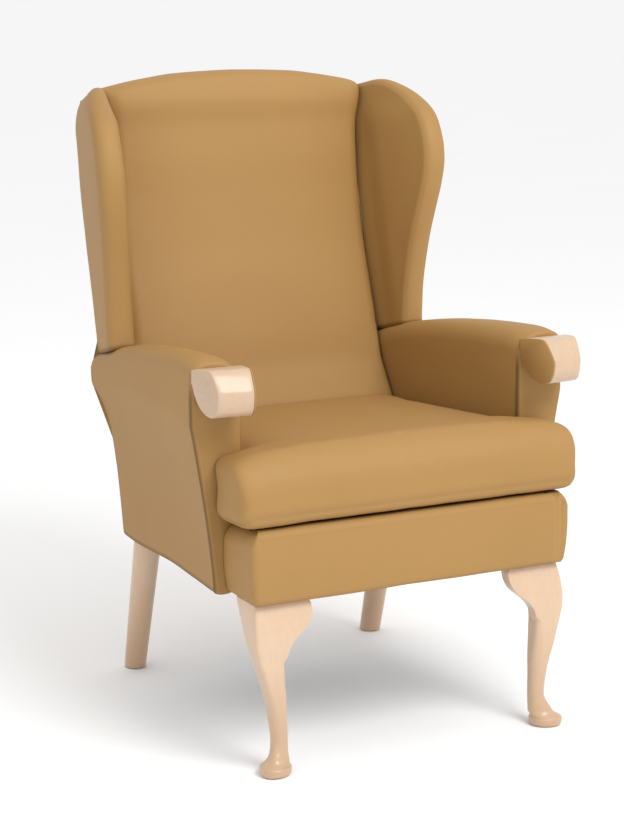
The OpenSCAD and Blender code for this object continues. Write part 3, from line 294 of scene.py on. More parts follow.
def soften_edges(obj, width, segments=3):
    """Small round along a piece's sharp edges."""
    mod = obj.modifiers.new("Soft edges", "BEVEL")
    mod.width, mod.segments = width, segments
    mod.limit_method, mod.angle_limit = "ANGLE", math.radians(35)
    mod.harden_normals = False
    return obj


def dress(obj, material, body, nodes):
    """Gives a piece its finish, its body and the frame pieces that it stands for."""
    obj.data.materials.clear()
    obj.data.materials.append(material)
    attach(obj, body)
    if nodes:
        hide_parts(*nodes)


def upholster(obj, nodes, body="chair"):
    """Makes a piece a padded cover of the chair's vinyl."""
    dress(obj, finish("vinyl"), body, nodes)


# ---------------------------------------------------------------------------------------
# Shader maths


class Flow:
    """An output socket that takes part in sums: an expression on it adds its Math nodes."""

    def __init__(self, finish, socket):
        self.finish, self.socket = finish, socket

    def _math(self, operation, a, b):
        return self.finish.node("ShaderNodeMath", {"operation": operation}, {0: a, 1: b})

    def __add__(self, other):
        return self._math("ADD", self, other)

    def __radd__(self, other):
        return self._math("ADD", other, self)

    def __sub__(self, other):
        return self._math("SUBTRACT", self, other)

    def __rsub__(self, other):
        return self._math("SUBTRACT", other, self)

    def __mul__(self, other):
        return self._math("MULTIPLY", self, other)

    def __rmul__(self, other):
        return self._math("MULTIPLY", other, self)

    def clamped(self):
        return self.finish.node("ShaderNodeClamp", {}, {"Value": self})


class Finish:
    """A material and its nodes."""

    def __init__(self, name):
        self.material = bpy.data.materials.new(name)
        self.material.use_nodes = True
        self.tree = self.material.node_tree
        self.tree.nodes.clear()

    def node(self, kind, settings, sockets, output=0):
        """New node: its settings first, then the values or links of its sockets."""
        node = self.tree.nodes.new(kind)
        for name, value in settings.items():
            setattr(node, name, value)
        for name, value in sockets.items():
            if isinstance(value, Flow):
                self.tree.links.new(value.socket, node.inputs[name])
            else:
                node.inputs[name].default_value = value
        return Flow(self, node.outputs[output])

    def place(self, stretch=(1, 1, 1)):
        """Object coordinates in metres, stretched along the grain if asked."""
        at = self.node("ShaderNodeTexCoord", {}, {}, "Object")
        return self.node("ShaderNodeVectorMath", {"operation": "MULTIPLY"}, {0: at, 1: stretch})

    def noise(self, scale, at, detail=2.0, roughness=0.5, distortion=0.0):
        return self.node("ShaderNodeTexNoise", {}, {
            "Vector": at, "Scale": scale, "Detail": detail, "Roughness": roughness,
            "Distortion": distortion})

    def cells(self, scale, at, randomness=1.0):
        return self.node("ShaderNodeTexVoronoi", {"feature": "F1"}, {
            "Vector": at, "Scale": scale, "Randomness": randomness})

    def bands(self, at, axis, scale, distortion, detail):
        return self.node("ShaderNodeTexWave", {"wave_type": "BANDS", "bands_direction": axis}, {
            "Vector": at, "Scale": scale, "Distortion": distortion, "Detail": detail})

    def blend(self, factor, a, b):
        """Colour a turned to colour b by a factor."""
        a = a if isinstance(a, Flow) else (*a, 1)
        b = b if isinstance(b, Flow) else (*b, 1)
        return self.node("ShaderNodeMix", {"data_type": "RGBA", "blend_type": "MIX"},
                         {0: factor, 6: a, 7: b}, 2)

    def attribute(self, name):
        return self.node("ShaderNodeAttribute", {"attribute_name": name}, {}, "Fac")

    def bump(self, height, strength, distance, under=None):
        sockets = {"Height": height, "Strength": strength, "Distance": distance}
        if under is not None:
            sockets["Normal"] = under
        return self.node("ShaderNodeBump", {}, sockets)

    def surface(self, **values):
        """Closes the material with its shader; names use _ for spaces."""
        sockets = {key.replace("_", " "): value for key, value in values.items()}
        shader = self.node("ShaderNodeBsdfPrincipled", {}, sockets)
        self.node_out(shader)
        return self.material

    def node_out(self, shader):
        out = self.tree.nodes.new("ShaderNodeOutputMaterial")
        self.tree.links.new(shader.socket, out.inputs["Surface"])


def tone(colour, k):
    """A lighter or darker tone of a colour."""
    return tuple(c * k for c in colour)


def vinyl_finish(name, colour, settings):
    """Smooth vinyl with a fine pressed grain, darkened by painted shade along seams and creases.
    """
    f = Finish(name)
    at = f.place()
    painted_shade = f.attribute("painted_shade")
    cloud = f.noise(4.5, at, 3.0, 0.55)
    patch = f.noise(38, at, 3.0, 0.6)
    grain = f.cells(900, at)
    crease = f.noise(360, at, 4.0, 0.65, 0.4)
    pores = grain * 0.75 + crease * 0.55
    shade = (cloud * 0.9 + patch * 0.25 - 0.1).clamped()
    base = f.blend(shade, tone(colour, 0.93), tone(colour, 1.06))
    base = f.blend((pores * 0.34).clamped(), base, tone(colour, 0.80))
    # Painted shade: seams, creases and gaps turn to a much darker tone of the vinyl
    base = f.blend((painted_shade * 0.8).clamped(), base, tone(colour, 0.3))
    wide = f.bump(patch * 0.5 + cloud, 0.25, 0.0012)
    fine = f.bump(pores, settings.grain_strength, 0.00035, wide)
    rough = (settings.vinyl_roughness - 0.03) + patch * 0.05 + pores * 0.07 + painted_shade * 0.12
    return f.surface(Base_Color=base, Roughness=rough, Normal=fine, IOR=1.36)


def wood_finish(name, colour, dark, grain=(26, 26, 2.2), gloss=0.55, coarse=False):
    """Wood whose grain runs along the axis with the smallest stretch; lacquered unless coarse."""
    f = Finish(name)
    at = f.place(grain)
    plain = f.place()
    ring = f.noise(1.1, at, 4.0, 0.6, 0.6)
    line = f.noise(7.5, at, 5.0, 0.7, 0.15)
    fleck = f.cells(11.0, at)
    spot = 1 - (fleck * 3.1).clamped()
    tint = f.noise(5.0, plain, 2.0, 0.5)
    base = f.blend((ring * 1.35 - 0.18).clamped(), colour, dark)
    base = f.blend(((line - 0.42) * 1.5).clamped(), base, tone(dark, 0.93))
    base = f.blend((spot * 0.42).clamped(), base, tone(dark, 0.74))
    base = f.blend((tint * 0.5 - 0.1).clamped(), base, tone(colour, 1.05))
    if not coarse:
        # Painted shade: the lacquered wood turns darker towards the floor, below 18 cm, for the
        # legs' shaded lower parts
        height = f.node("ShaderNodeSeparateXYZ", {}, {"Vector": plain}, "Z")
        low = ((0.18 - height) * 7.0).clamped()
        base = f.blend(low * 0.75, base, (dark[0] * 0.86, dark[1] * 0.80, dark[2] * 0.72))
    relief = line * 0.6 + spot * -0.5
    rough = (0.62 if coarse else 0.34) + line * 0.14
    if coarse:
        return f.surface(Base_Color=base, Roughness=rough, Normal=f.bump(relief, 0.35, 0.0006),
                         IOR=1.5)
    return f.surface(Base_Color=base, Roughness=rough, Normal=f.bump(relief, 0.10, 0.0003),
                     IOR=1.5, Coat_Weight=gloss, Coat_Roughness=0.16)


def plywood_finish(name):
    """Birch plywood, with its layers showing at the edges."""
    f = Finish(name)
    at = f.place((3.0, 34, 34))
    ply = f.place()
    layer = f.bands(ply, "X", 62.0, 0.8, 2.0)
    line = f.noise(6.0, at, 4.0, 0.65)
    base = f.blend((line * 1.2 - 0.1).clamped(), (0.66, 0.52, 0.35), (0.52, 0.38, 0.23))
    base = f.blend((layer * 0.35).clamped(), base, (0.40, 0.28, 0.16))
    return f.surface(Base_Color=base, Roughness=0.6 + line * 0.2,
                     Normal=f.bump(line + layer, 0.2, 0.0004))


def steel_finish(name, colour=(0.56, 0.57, 0.58), stretch=(20, 400, 400)):
    """Bare metal with fine draw marks."""
    f = Finish(name)
    streak = f.noise(1.0, f.place(stretch), 4.0, 0.7)
    blot = f.noise(90, f.place(), 3.0, 0.6)
    base = f.blend((streak * 0.7 + blot * 0.3).clamped(), tone(colour, 0.85), tone(colour, 1.1))
    return f.surface(Base_Color=base, Metallic=1.0, Roughness=0.22 + streak * 0.2 + blot * 0.1,
                     Normal=f.bump(streak, 0.08, 0.0002))


def weave_finish(name, colour, dark, pitch, axes="XZ"):
    """Plain weave: two sets of threads that cross."""
    f = Finish(name)
    at = f.place()
    scale = 1 / pitch / 3.2
    warp, weft = (f.bands(at, axis, scale, 0.6, 1.0) for axis in axes)
    fuzz = f.noise(700, at, 3.0, 0.7)
    slub = f.noise(55, at, 3.0, 0.6)
    thread = warp * weft
    base = f.blend((thread * 0.8 + slub * 0.35 - 0.1).clamped(), dark, colour)
    base = f.blend((fuzz * 0.35).clamped(), base, tone(dark, 0.8))
    return f.surface(Base_Color=base, Roughness=0.85 + fuzz * 0.1, Sheen_Weight=0.25,
                     Normal=f.bump(thread + fuzz * 0.4, 0.5, pitch * 0.4))


def felt_finish(name, colour):
    """Bonded cloth of short fibres, pressed in small squares."""
    f = Finish(name)
    at = f.place()
    fibre = f.noise(420, at, 5.0, 0.75, 1.2)
    dots = f.cells(480, at, 0.0)
    cloud = f.noise(14, at, 2.0)
    shade = (fibre * 0.8 + cloud * 0.3 - 0.1).clamped()
    base = f.blend(shade, tone(colour, 0.7), tone(colour, 1.7))
    return f.surface(Base_Color=base, Roughness=0.86 + fibre * 0.1,
                     Normal=f.bump(fibre + dots * 0.6, 0.45, 0.0004))


def foam_finish(name, colour):
    """Open-pored foam."""
    f = Finish(name)
    at = f.place()
    pore = f.cells(650, at)
    cloud = f.noise(20, at, 3.0)
    base = f.blend((pore * 0.9).clamped(), tone(colour, 0.8), colour)
    base = f.blend((cloud * 0.4).clamped(), base, tone(colour, 0.92))
    return f.surface(Base_Color=base, Roughness=0.9 + cloud * 0.08,
                     Normal=f.bump(pore, 0.6, 0.0006))


def moulded_finish(name, colour):
    """Moulded plastic with a few scuffs."""
    f = Finish(name)
    at = f.place()
    haze = f.noise(60, at, 3.0)
    scuff = f.noise(1.0, f.place((30, 900, 900)), 4.0, 0.7)
    base = f.blend((haze * 0.5 + scuff * 0.3).clamped(), tone(colour, 0.9), tone(colour, 1.04))
    return f.surface(Base_Color=base, Roughness=0.42 + scuff * 0.2,
                     Normal=f.bump(scuff, 0.12, 0.0002))


def floor_finish(name, colour):
    """Nearly even studio floor."""
    f = Finish(name)
    at = f.place()
    cloud = f.noise(1.3, at, 3.0)
    base = f.blend(cloud, tone(colour, 0.985), tone(colour, 1.01))
    return f.surface(Base_Color=base, Roughness=0.75 + cloud * 0.1)


SAWN, SAWN_GRAIN = (0.60, 0.46, 0.29), (0.47, 0.34, 0.20)
_finishes = {}


def sawn_finish(way, grain):
    """Plain hardwood of the hidden frame."""
    return wood_finish(f"Sawn hardwood {way}", SAWN, SAWN_GRAIN, grain, coarse=True)


def finish(name):
    """The chair's finishes, each made once."""
    if name in _finishes:
        return _finishes[name]
    c = bpy.context.scene.chair_colours
    vinyl, wood, wood_dark = tuple(c.vinyl), tuple(c.beech), tuple(c.beech_grain)
    make = {
        "vinyl": lambda: vinyl_finish("Caramel vinyl", vinyl, c),
        "beech": lambda: wood_finish("Lacquered beech", wood, wood_dark),
        # Painted shade: the grips take the beech made 11 % darker, a shaded copy of the show wood
        "shaded beech for grips": lambda: wood_finish("Lacquered beech, shaded copy for grips", tone(wood, 0.89),
                                          tone(wood_dark, 0.89), (26, 3.0, 26), 0.3),
        "timber": lambda: sawn_finish("across", (2.0, 22, 22)),
        "timber long": lambda: sawn_finish("front to back", (22, 2.0, 22)),
        "timber up": lambda: sawn_finish("upright", (22, 22, 2.0)),
        "plywood": lambda: plywood_finish("Birch plywood"),
        "steel": lambda: steel_finish("Drawn steel"),
        "slider": lambda: steel_finish("Satin slider metal", (0.50, 0.46, 0.38), (300, 60, 300)),
        "webbing": lambda: weave_finish("Elastic webbing", (0.42, 0.33, 0.21), (0.16, 0.12, 0.08),
                                        0.0022),
        "deck": lambda: weave_finish("Deck cloth", (0.47, 0.34, 0.19), (0.30, 0.20, 0.10), 0.0012,
                                     "XY"),
        "dust": lambda: felt_finish("Black bottoming cloth", (0.022, 0.021, 0.021)),
        "foam": lambda: foam_finish("Cream foam", (0.80, 0.74, 0.56)),
        "tape": lambda: weave_finish("Brown zip tape", (0.25, 0.15, 0.07), (0.12, 0.07, 0.03),
                                     0.0009),
        "glide": lambda: moulded_finish("Off-white glide", (0.72, 0.70, 0.65)),
        "floor": lambda: floor_finish("Pale floor", tuple(c.floor)),
    }
    _finishes[name] = make[name]()
    return _finishes[name]


# ---------------------------------------------------------------------------------------
# Settings


class ChairCoverSizes(bpy.types.PropertyGroup):
    seam_depth: FloatProperty(
        name="Seam depth", description="How far a seam pulls the cover in",
        default=0.0014, min=0, max=0.004, unit="LENGTH")
    seam_width: FloatProperty(
        name="Seam width", description="Width of the hollow along a seam",
        default=0.0035, min=0.001, max=0.01, unit="LENGTH")
    unevenness: FloatProperty(
        name="Unevenness", description="Height of the slight waves of the stuffing",
        default=0.0009, min=0, max=0.004, unit="LENGTH")
    border_belly: FloatProperty(
        name="Border belly", description="Swell of the front border between its edges",
        default=0.003, min=0, max=0.008, unit="LENGTH")
    cushion_crown: FloatProperty(
        name="Cushion crown", description="Rise of the cushion's middle over its border",
        default=0.012, min=0.004, max=0.02, unit="LENGTH")
    cushion_swell: FloatProperty(
        name="Cushion swell", description="Most that the stuffing may push the cushion's cover",
        default=0.005, min=0, max=0.016, unit="LENGTH")
    wing_fullness: FloatProperty(
        name="Wing fullness", description="How far the wings' padded edge passes the wood",
        default=0.006, min=0, max=0.010, unit="LENGTH")
    wing_flare: FloatProperty(
        name="Wing flare", description="How far the wings' upper edge opens outwards",
        default=0.006, min=0, max=0.010, unit="LENGTH")
    back_bulge: FloatProperty(
        name="Outside back swell", description="Swell of the panel behind the chair",
        default=0.003, min=0, max=0.008, unit="LENGTH")


class ChairColours(bpy.types.PropertyGroup):
    vinyl: FloatVectorProperty(
        name="Vinyl", description="Colour of the covers", subtype="COLOR", size=3,
        default=(0.372, 0.209, 0.067), min=0, max=1)
    beech: FloatVectorProperty(
        name="Beech", description="Colour of the show wood", subtype="COLOR", size=3,
        default=(0.615, 0.442, 0.302), min=0, max=1)
    beech_grain: FloatVectorProperty(
        name="Beech grain", description="Colour of the show wood's darker grain", subtype="COLOR",
        size=3, default=(0.555, 0.380, 0.245), min=0, max=1)
    floor: FloatVectorProperty(
        name="Floor", description="Colour of the studio floor", subtype="COLOR", size=3,
        default=(0.97, 0.97, 0.97), min=0, max=1)
    vinyl_roughness: FloatProperty(
        name="Vinyl roughness", description="How dull the covers are",
        default=0.54, min=0.2, max=0.9)
    grain_strength: FloatProperty(
        name="Leather grain", description="Strength of the fine grain pressed in the vinyl",
        default=0.22, min=0, max=1)


class ChairStudio(bpy.types.PropertyGroup):
    distance: FloatProperty(
        name="Camera distance", description="Distance from the camera to the chair's middle",
        default=3.6898, min=2, max=8, unit="LENGTH")
    lens: FloatProperty(
        name="Lens", description="Focal length of the camera",
        default=93.797, min=35, max=200, unit="CAMERA")
    key_power: FloatProperty(
        name="Key light", description="Power of the large soft light in front",
        default=88, min=0, unit="POWER")
    side_power: FloatProperty(
        name="Side light", description="Power of the soft light at the left",
        default=4, min=0, unit="POWER")
    room_light: FloatProperty(
        name="Room light", description="Strength of the even light all round",
        default=0.95, min=0)


# ---------------------------------------------------------------------------------------
# The cushion


CUSHION_Y0, CUSHION_REAR = -0.010, 0.49909   # front and rear of its foot
CUSHION_H = 0.106              # height of its border
CUSHION_FOOT = 0.0004          # gap between its foot and the deck
CUSHION_LEAN = math.radians(6)  # lean of its rear border
NOSE_R = 0.046                 # round of its front
HEEL_R, HEEL_PAST, HEEL_LIFT = 0.016, 0.002, 0.009  # round of its rear, and how far it lifts
EAR_X, EAR_BACK = 0.3120, 0.101  # half width and rear of the ears in front of the arms


def arm_room(y, v):
    """Half of the room between the arms' inner pads, at a depth that is v of their length."""
    return plane_x(y) - lerp(ARM_IN_FRONT, ARM_IN_REAR, v)


def cushion_half_w(y):
    """Half width of the cushion at a depth: its ears in front, its seat between the arms."""
    ear = (EAR_X - 0.022 * (1 - rounding(y - CUSHION_Y0 + 0.0041, 0.034))
           - 0.006 * (1 - rounding(EAR_BACK + 0.001 - y, 0.012)))
    v = clamp((y - ARM_Y0) / (rear_y(deck_z(y), BACK_D) - ARM_Y0))
    rear = (arm_room(y, v) - 0.0012
            - 0.010 * (1 - rounding(CUSHION_REAR - y + 0.004, 0.022)))
    return np.where(y < EAR_BACK, ear, rear)


def cushion_section(y, crown, columns):
    """Ring of the cushion at a depth, clockwise from its upper left edge."""
    half = float(cushion_half_w(np.array(y)))
    nose = float(rounding(y - CUSHION_Y0, NOSE_R))
    heel = float(rounding(CUSHION_REAR - y + HEEL_PAST, HEEL_R))
    zb = (deck_z(y) + CUSHION_FOOT + 0.014 * (1 - float(rounding(y - CUSHION_Y0, 0.016)))
          + HEEL_LIFT * (1 - heel))
    h = CUSHION_H * (0.34 + 0.66 * nose) - 0.022 * (1 - heel)
    off = float(clamp((y / CUSHION_REAR - 0.45) / 0.75))
    rise = crown * nose * heel * (1 - 0.7 * off ** 2)
    r, zt = min(0.018, h / 3), zb + h
    low_r = 1.3 * r
    tuck = 0.0025 * (0.3 + 0.7 * nose)
    mirror = (-1, 1)
    a = np.radians(np.linspace(180, 90, 9))
    left = np.stack([-half + r + r * np.cos(a), zt - r + r * np.sin(a)], 1)
    t = np.linspace(-1, 1, columns)[1:-1]
    top = np.stack([t * (half - r), zt + rise * (1 - np.abs(t) ** 4) ** 0.8], 1)
    right = left[::-1] * mirror
    side = np.linspace(zt - r, zb + low_r, 9)[1:-1]
    hollow = np.sin(np.linspace(0, np.pi, 9)[1:-1])
    flank = np.stack([half - tuck * hollow, side], 1)
    under = np.stack([t[::-1] * (half - r), np.full(len(t), zb)], 1)
    low = np.radians(np.linspace(0, -90, 9))
    right_low = np.stack([half - r + r * np.cos(low), zb + low_r + low_r * np.sin(low)], 1)
    left_low = right_low[::-1] * mirror
    ring = np.concatenate([left, top, right, flank, right_low, under, left_low,
                           flank[::-1] * mirror])
    lean = math.tan(CUSHION_LEAN) * (ring[:, 1] - zb) * clamp(y / CUSHION_REAR)
    return np.stack([ring[:, 0], y + lean, ring[:, 1]], 1)


def cushion_rows():
    """Sections from the nose to the heel, closer where the shape turns."""
    crown = bpy.context.scene.chair_covers.cushion_crown
    y = np.concatenate([np.linspace(0, 1, 15) ** 1.7 * NOSE_R + CUSHION_Y0,
                        np.linspace(0.046, EAR_BACK - 0.014, 7),
                        EAR_BACK - 0.012 * (1 - np.linspace(0.1, 1, 7) ** 0.6),
                        EAR_BACK + np.linspace(0.0004, 0.010, 3),
                        np.linspace(0.12, CUSHION_REAR - 0.018, 34),
                        CUSHION_REAR - 0.016 * (1 - np.linspace(0.1, 1, 9) ** 0.7)])
    return [cushion_section(float(at), crown, 49) for at in np.unique(np.round(y, 6))]


def seam_lines():
    """Seams between the cushion's base and its border, and the edges along its rear half."""
    low, top = [], []
    for y in np.concatenate([np.linspace(CUSHION_Y0, EAR_BACK - 0.002, 30),
                             np.linspace(EAR_BACK + 0.001, CUSHION_REAR, 60)]):
        ring = cushion_section(float(y), 0, 9)
        low.append([ring[:, 0].max() - 0.004, y, ring[:, 2].min() + 0.006])
        top.append([abs(ring[4, 0]), ring[4, 1], ring[4, 2]])
    low, top = np.array(low), np.array(top)
    flip = np.array((-1, 1, 1))
    rear = top[len(top) // 2:]
    ends = [np.array([end, end * flip]) for end in (low[0], low[-1], top[-1])]
    return [low, low * flip, rear, rear * flip] + ends


def stuff(obj, cap):
    """Blows a cover up like a stuffed bag, at most by the cap."""
    frames = 20
    start = coordinates(obj.data)
    mod = obj.modifiers.new("Stuffing", "CLOTH")
    s = mod.settings
    s.quality = 5
    s.mass = 0.35
    s.tension_stiffness = s.compression_stiffness = 22
    s.shear_stiffness = 12
    s.bending_stiffness = 1.2
    s.use_pressure = True
    s.uniform_pressure_force = 4.0
    s.effector_weights.gravity = 0
    mod.point_cache.frame_start, mod.point_cache.frame_end = 1, frames
    scene = bpy.context.scene
    for i in range(1, frames + 1):
        scene.frame_set(i)
    deps = bpy.context.evaluated_depsgraph_get()
    blown = coordinates(obj.evaluated_get(deps).to_mesh())
    obj.evaluated_get(deps).to_mesh_clear()
    obj.modifiers.remove(mod)
    scene.frame_set(1)
    step = blown - start
    size = np.linalg.norm(step, axis=1)
    keep = np.minimum(1, cap / np.maximum(size, 1e-9))
    set_coordinates(obj, start + step * keep[:, None])


def smooth_mesh(mesh, rounds):
    """Evens out the steps that the remesh leaves."""
    def smooth(bm):
        for _ in range(rounds):
            bmesh.ops.smooth_vert(bm, verts=bm.verts, factor=0.5, use_axis_x=True,
                                  use_axis_y=True, use_axis_z=True)

    rework(mesh, smooth)


def sew(obj, lines, depth, width):
    """Pulls the cover in along seam lines, and stores a painted shade that darkens the cover near
    them.
    """
    co, nr = coordinates(obj.data), normals(obj)
    near = np.full(len(co), 1e9)
    for line in lines:
        moved = np.array(line, float).copy()
        moved[:, 1] -= MIDDLE
        near = np.minimum(near, distance_to(co, moved))
    pull = np.exp(-(near / width) ** 2)
    set_coordinates(obj, co - nr * (pull * depth)[:, None])
    store(obj.data, "painted_shade", np.exp(-(near / (0.8 * width)) ** 2))


ZIP_LEN, TAPE_W, TAPE_T = 0.400, 0.024, 0.0016


def on_zip(x, y, z):
    """Point of the leaning rear border: x along the zip, y out from the border, z up."""
    foot = (deck_z(CUSHION_REAR) + CUSHION_FOOT
            + HEEL_LIFT * (1 - float(rounding(HEEL_PAST, HEEL_R))))
    z += 0.42 * CUSHION_H
    y += FIT / 2
    return (x, CUSHION_REAR + y * math.cos(CUSHION_LEAN) + z * math.sin(CUSHION_LEAN),
            foot + z * math.cos(CUSHION_LEAN) - y * math.sin(CUSHION_LEAN))


class CHAIR_OT_cushion(bpy.types.Operator):
    """Make the loose seat cushion with its foam and its zip"""
    bl_idname = "chair.cushion"
    bl_label = "Seat cushion"

    def execute(self, context):
        sizes = context.scene.chair_covers
        cover = loft("cushion_bag", cushion_rows())
        self.fill(cover, sizes, context)
        sew(cover, seam_lines(), sizes.seam_depth * 1.3, sizes.seam_width * 1.5)
        ruffle(cover, sizes.unevenness * 1.3, 0.11, 3)
        refine(cover)
        upholster(cover, ("cushion_cover",), "cushion")
        self.foam()
        self.tape()
        self.teeth()
        self.slider()
        return {"FINISHED"}

    def fill(self, cover, sizes, context):
        """Even mesh, stuffed, then held to the deck and to the room between the arms."""
        mod = cover.modifiers.new("Even mesh", "REMESH")
        mod.mode, mod.voxel_size = "VOXEL", 0.0055
        deps = context.evaluated_depsgraph_get()
        mesh = bpy.data.meshes.new_from_object(cover.evaluated_get(deps))
        cover.modifiers.clear()
        old, cover.data = cover.data, mesh
        bpy.data.meshes.remove(old)
        mesh.shade_smooth()
        smooth_mesh(mesh, 3)
        stuff(cover, sizes.cushion_swell)
        co = coordinates(cover.data)
        y = co[:, 1] + MIDDLE
        co[:, 2] = np.maximum(co[:, 2], deck_z(y) + CUSHION_FOOT)
        room = arm_room(y, clamp((y - ARM_Y0) / 0.40)) - 0.0006
        between_arms, ear_x = y > EAR_BACK + 0.004, 0.2585
        co[:, 0] = np.where(between_arms, np.clip(co[:, 0], -room, room), co[:, 0])
        co[:, 1] = np.where(~between_arms & (np.abs(co[:, 0]) > ear_x),
                            np.minimum(co[:, 1], ARM_SET - MIDDLE - 0.0012), co[:, 1])
        set_coordinates(cover, co)

    def foam(self):
        """Foam block cut to the cushion's plan."""
        flat = math.cos(FALL)
        ear, arm_y, thick = EAR_X - 0.014, 0.082, 0.08
        right = [(ear - 0.010, 0.020), (ear, 0.028), (ear, arm_y), (0.2357, arm_y),
                 (0.224, 0.4795)]
        plan = right + [(-x, y) for x, y in right[::-1]]
        z0 = deck_z(0) + CUSHION_FOOT + 0.008
        core = loft("cushion_foam", [[(x, y * flat, z0 + h / flat - math.tan(FALL) * y * flat)
                                      for x, y in plan] for h in (0, thick)])
        soften_edges(core, 0.006)
        dress(core, finish("foam"), "cushion", ("cushion_core",))

    def tape(self):
        """The zip's tape, slightly wavy, with a rib along its middle."""
        half = TAPE_W / 2
        right = [(0.0026, TAPE_T * 0.9), (0.0032, TAPE_T * 0.6), (half, TAPE_T * 0.55), (half, 0)]
        ring = [(-z, y) for z, y in right[::-1]] + right
        rows = []
        for x in np.linspace(-ZIP_LEN / 2, ZIP_LEN / 2, 90):
            wave = max(0, 0.00035 * math.sin(x * 150))
            rows.append([on_zip(x, y + wave * (abs(z) > 0.004), z) for z, y in ring])
        dress(loft("zip_tape", rows), finish("tape"), "cushion", ("cushion_zip",))

    def teeth(self):
        """Teeth that point left and right in turn, in one mesh."""
        sides = ((0, 1, 2, 3), (7, 6, 5, 4), (0, 4, 5, 1), (1, 5, 6, 2), (2, 6, 7, 3),
                 (3, 7, 4, 0))
        pitch, end = 0.0021, ZIP_LEN / 2 - 0.004
        points, faces = [], []
        for i, x in enumerate(np.arange(-end, end, pitch)):
            s = 1 if i % 2 else -1
            faces += [[len(points) + k for k in corners] for corners in sides]
            for dx in (-0.00075, 0.00075):
                for z, y in ((0.0031, 0.85), (0.0031, 1.35), (-0.0012, 1.5), (-0.0016, 0.85)):
                    points.append(on_zip(x + dx, TAPE_T * y, s * z))
        teeth = make_object("zip_teeth", points, faces, smooth=False)
        dress(teeth, finish("slider"), "cushion", ())

    def slider(self):
        """The zip's runner, with a pull tab that has a hole near its end."""
        x0, y0 = -ZIP_LEN / 2 + 0.014, TAPE_T + FIT
        body = []
        for x, share in ((0, 0.35), (0.0012, 0.42), (0.006, 0.5), (0.0115, 0.46), (0.0135, 0.38)):
            half = share * 0.014
            body.append([on_zip(x0 + x, y0 + y, z) for z, y in
                         ((-half, 0), (-half, 0.0022), (-half * 0.7, 0.0031), (half * 0.7, 0.0031),
                          (half, 0.0022), (half, 0))])
        runner = soften_edges(loft("zip_runner", body), 0.0004, 2)
        dress(runner, finish("slider"), "zip_slider", ("zip_slider",))

        outline = spline([(-0.0034, 0.0), (-0.0030, -0.010), (-0.0036, -0.019), (0.0, -0.0225),
                          (0.0036, -0.019), (0.0030, -0.010), (0.0034, 0.0), (0.0, 0.0018)],
                         48, True)
        hole = np.array([(0.0016 * math.cos(a), -0.0175 + 0.0020 * math.sin(a))
                         for a in np.linspace(0, 2 * math.pi, 48, endpoint=False)])
        outline = np.array(sorted(outline, key=lambda p: math.atan2(p[1] + 0.012, p[0])))
        hole = np.array(sorted(hole, key=lambda p: math.atan2(p[1] + 0.0175, p[0])))
        tab = []
        for ring, y in ((outline * 0.98, 0.0013), (outline, 0.0016), (outline, 0.0026),
                        (hole, 0.0026), (hole, 0.0013), (outline * 0.98, 0.0013)):
            tab.append([on_zip(x0 + 0.007 + x, y0 + y, z - 0.004) for x, z in ring])
        pull = loft("zip_pull", tab, caps=False)
        dress(pull, finish("slider"), "zip_slider", ())


# ---------------------------------------------------------------------------------------
# The back


# Pairs of a share of the half width and of the crown's fall
CROWN = [(0, 0), (0.13, 0.03), (0.47, 0.18), (0.67, 0.46), (0.84, 0.76), (0.945, 1.0), (1, 1.15)]
# Pairs of a share of the back's length and of its thickness, at the sides and added in the middle
PAD_SIDE = [(0.106, 0.714), (0.162, 0.878), (0.219, 1), (0.269, 0.867), (0.33, 0.714),
            (0.405, 0.673), (0.513, 0.612), (0.611, 0.561), (0.708, 0.592), (0.803, 0.704),
            (0.871, 0.796), (0.932, 0.939), (1, 0.939)]
PAD_SWELL = [(0.106, 0), (0.219, 0.08), (0.4, 0.22), (0.7, 0.24), (0.9, 0.16), (1, 0.1)]
PAD_D0 = POST_FRONT + 0.025 * math.sin(TAPER) + 0.0012 + 0.002 + FIT  # rear of the pad
POST_LEN = 0.744
WING_FOOT = (ARM_H - ARM_FALL - UNDER) / math.cos(RAKE)  # where the wings stand on the arms
WING_IN_SLOPE = math.tan(math.radians(10.6))
WING_OUT_SLOPE = math.tan(math.radians(9.8))
SKIRT_DROP = 0.011             # how far the outer covers hang under the seat box


def crown_at(share):
    """Length of the back at a share of its half width."""
    return BACK_LEN - CROWN_FALL * curve(np.abs(share), CROWN)


def pad_half_w(s):
    """Half width of the inside back, narrower between the arms."""
    t = clamp((s - WING_FOOT) / 0.030 + 1 / 3)
    return plane_x(rake_y(s, PAD_D0)) + lerp(-0.0065, 0, t)


def pad_depth(share, s):
    """How far the inside back's face stands forward of the rear plane."""
    return BACK_T * (curve(s / BACK_LEN, PAD_SIDE)
                     + curve(s / BACK_LEN, PAD_SWELL) * (1 - share ** 2))


def wing_in(d):
    """Inner face of the wings' wood beside the side plane, d forward of the rear plane."""
    return np.maximum(FIT, -WING_IN_SLOPE * POST_FRONT + 0.0032 + WING_IN_SLOPE * d)


def wing_turn(s):
    """How far the wings' outer face turns in towards their top."""
    return WING_CORNER_DROP * clamp((s - WING_FOOT - WING_LEN + WING_CORNER) / WING_CORNER) ** 2


def wing_out(d, s):
    """Outer face of the wings beside the side plane."""
    return 0.040 + WING_OUT_SLOPE * d - wing_turn(s)


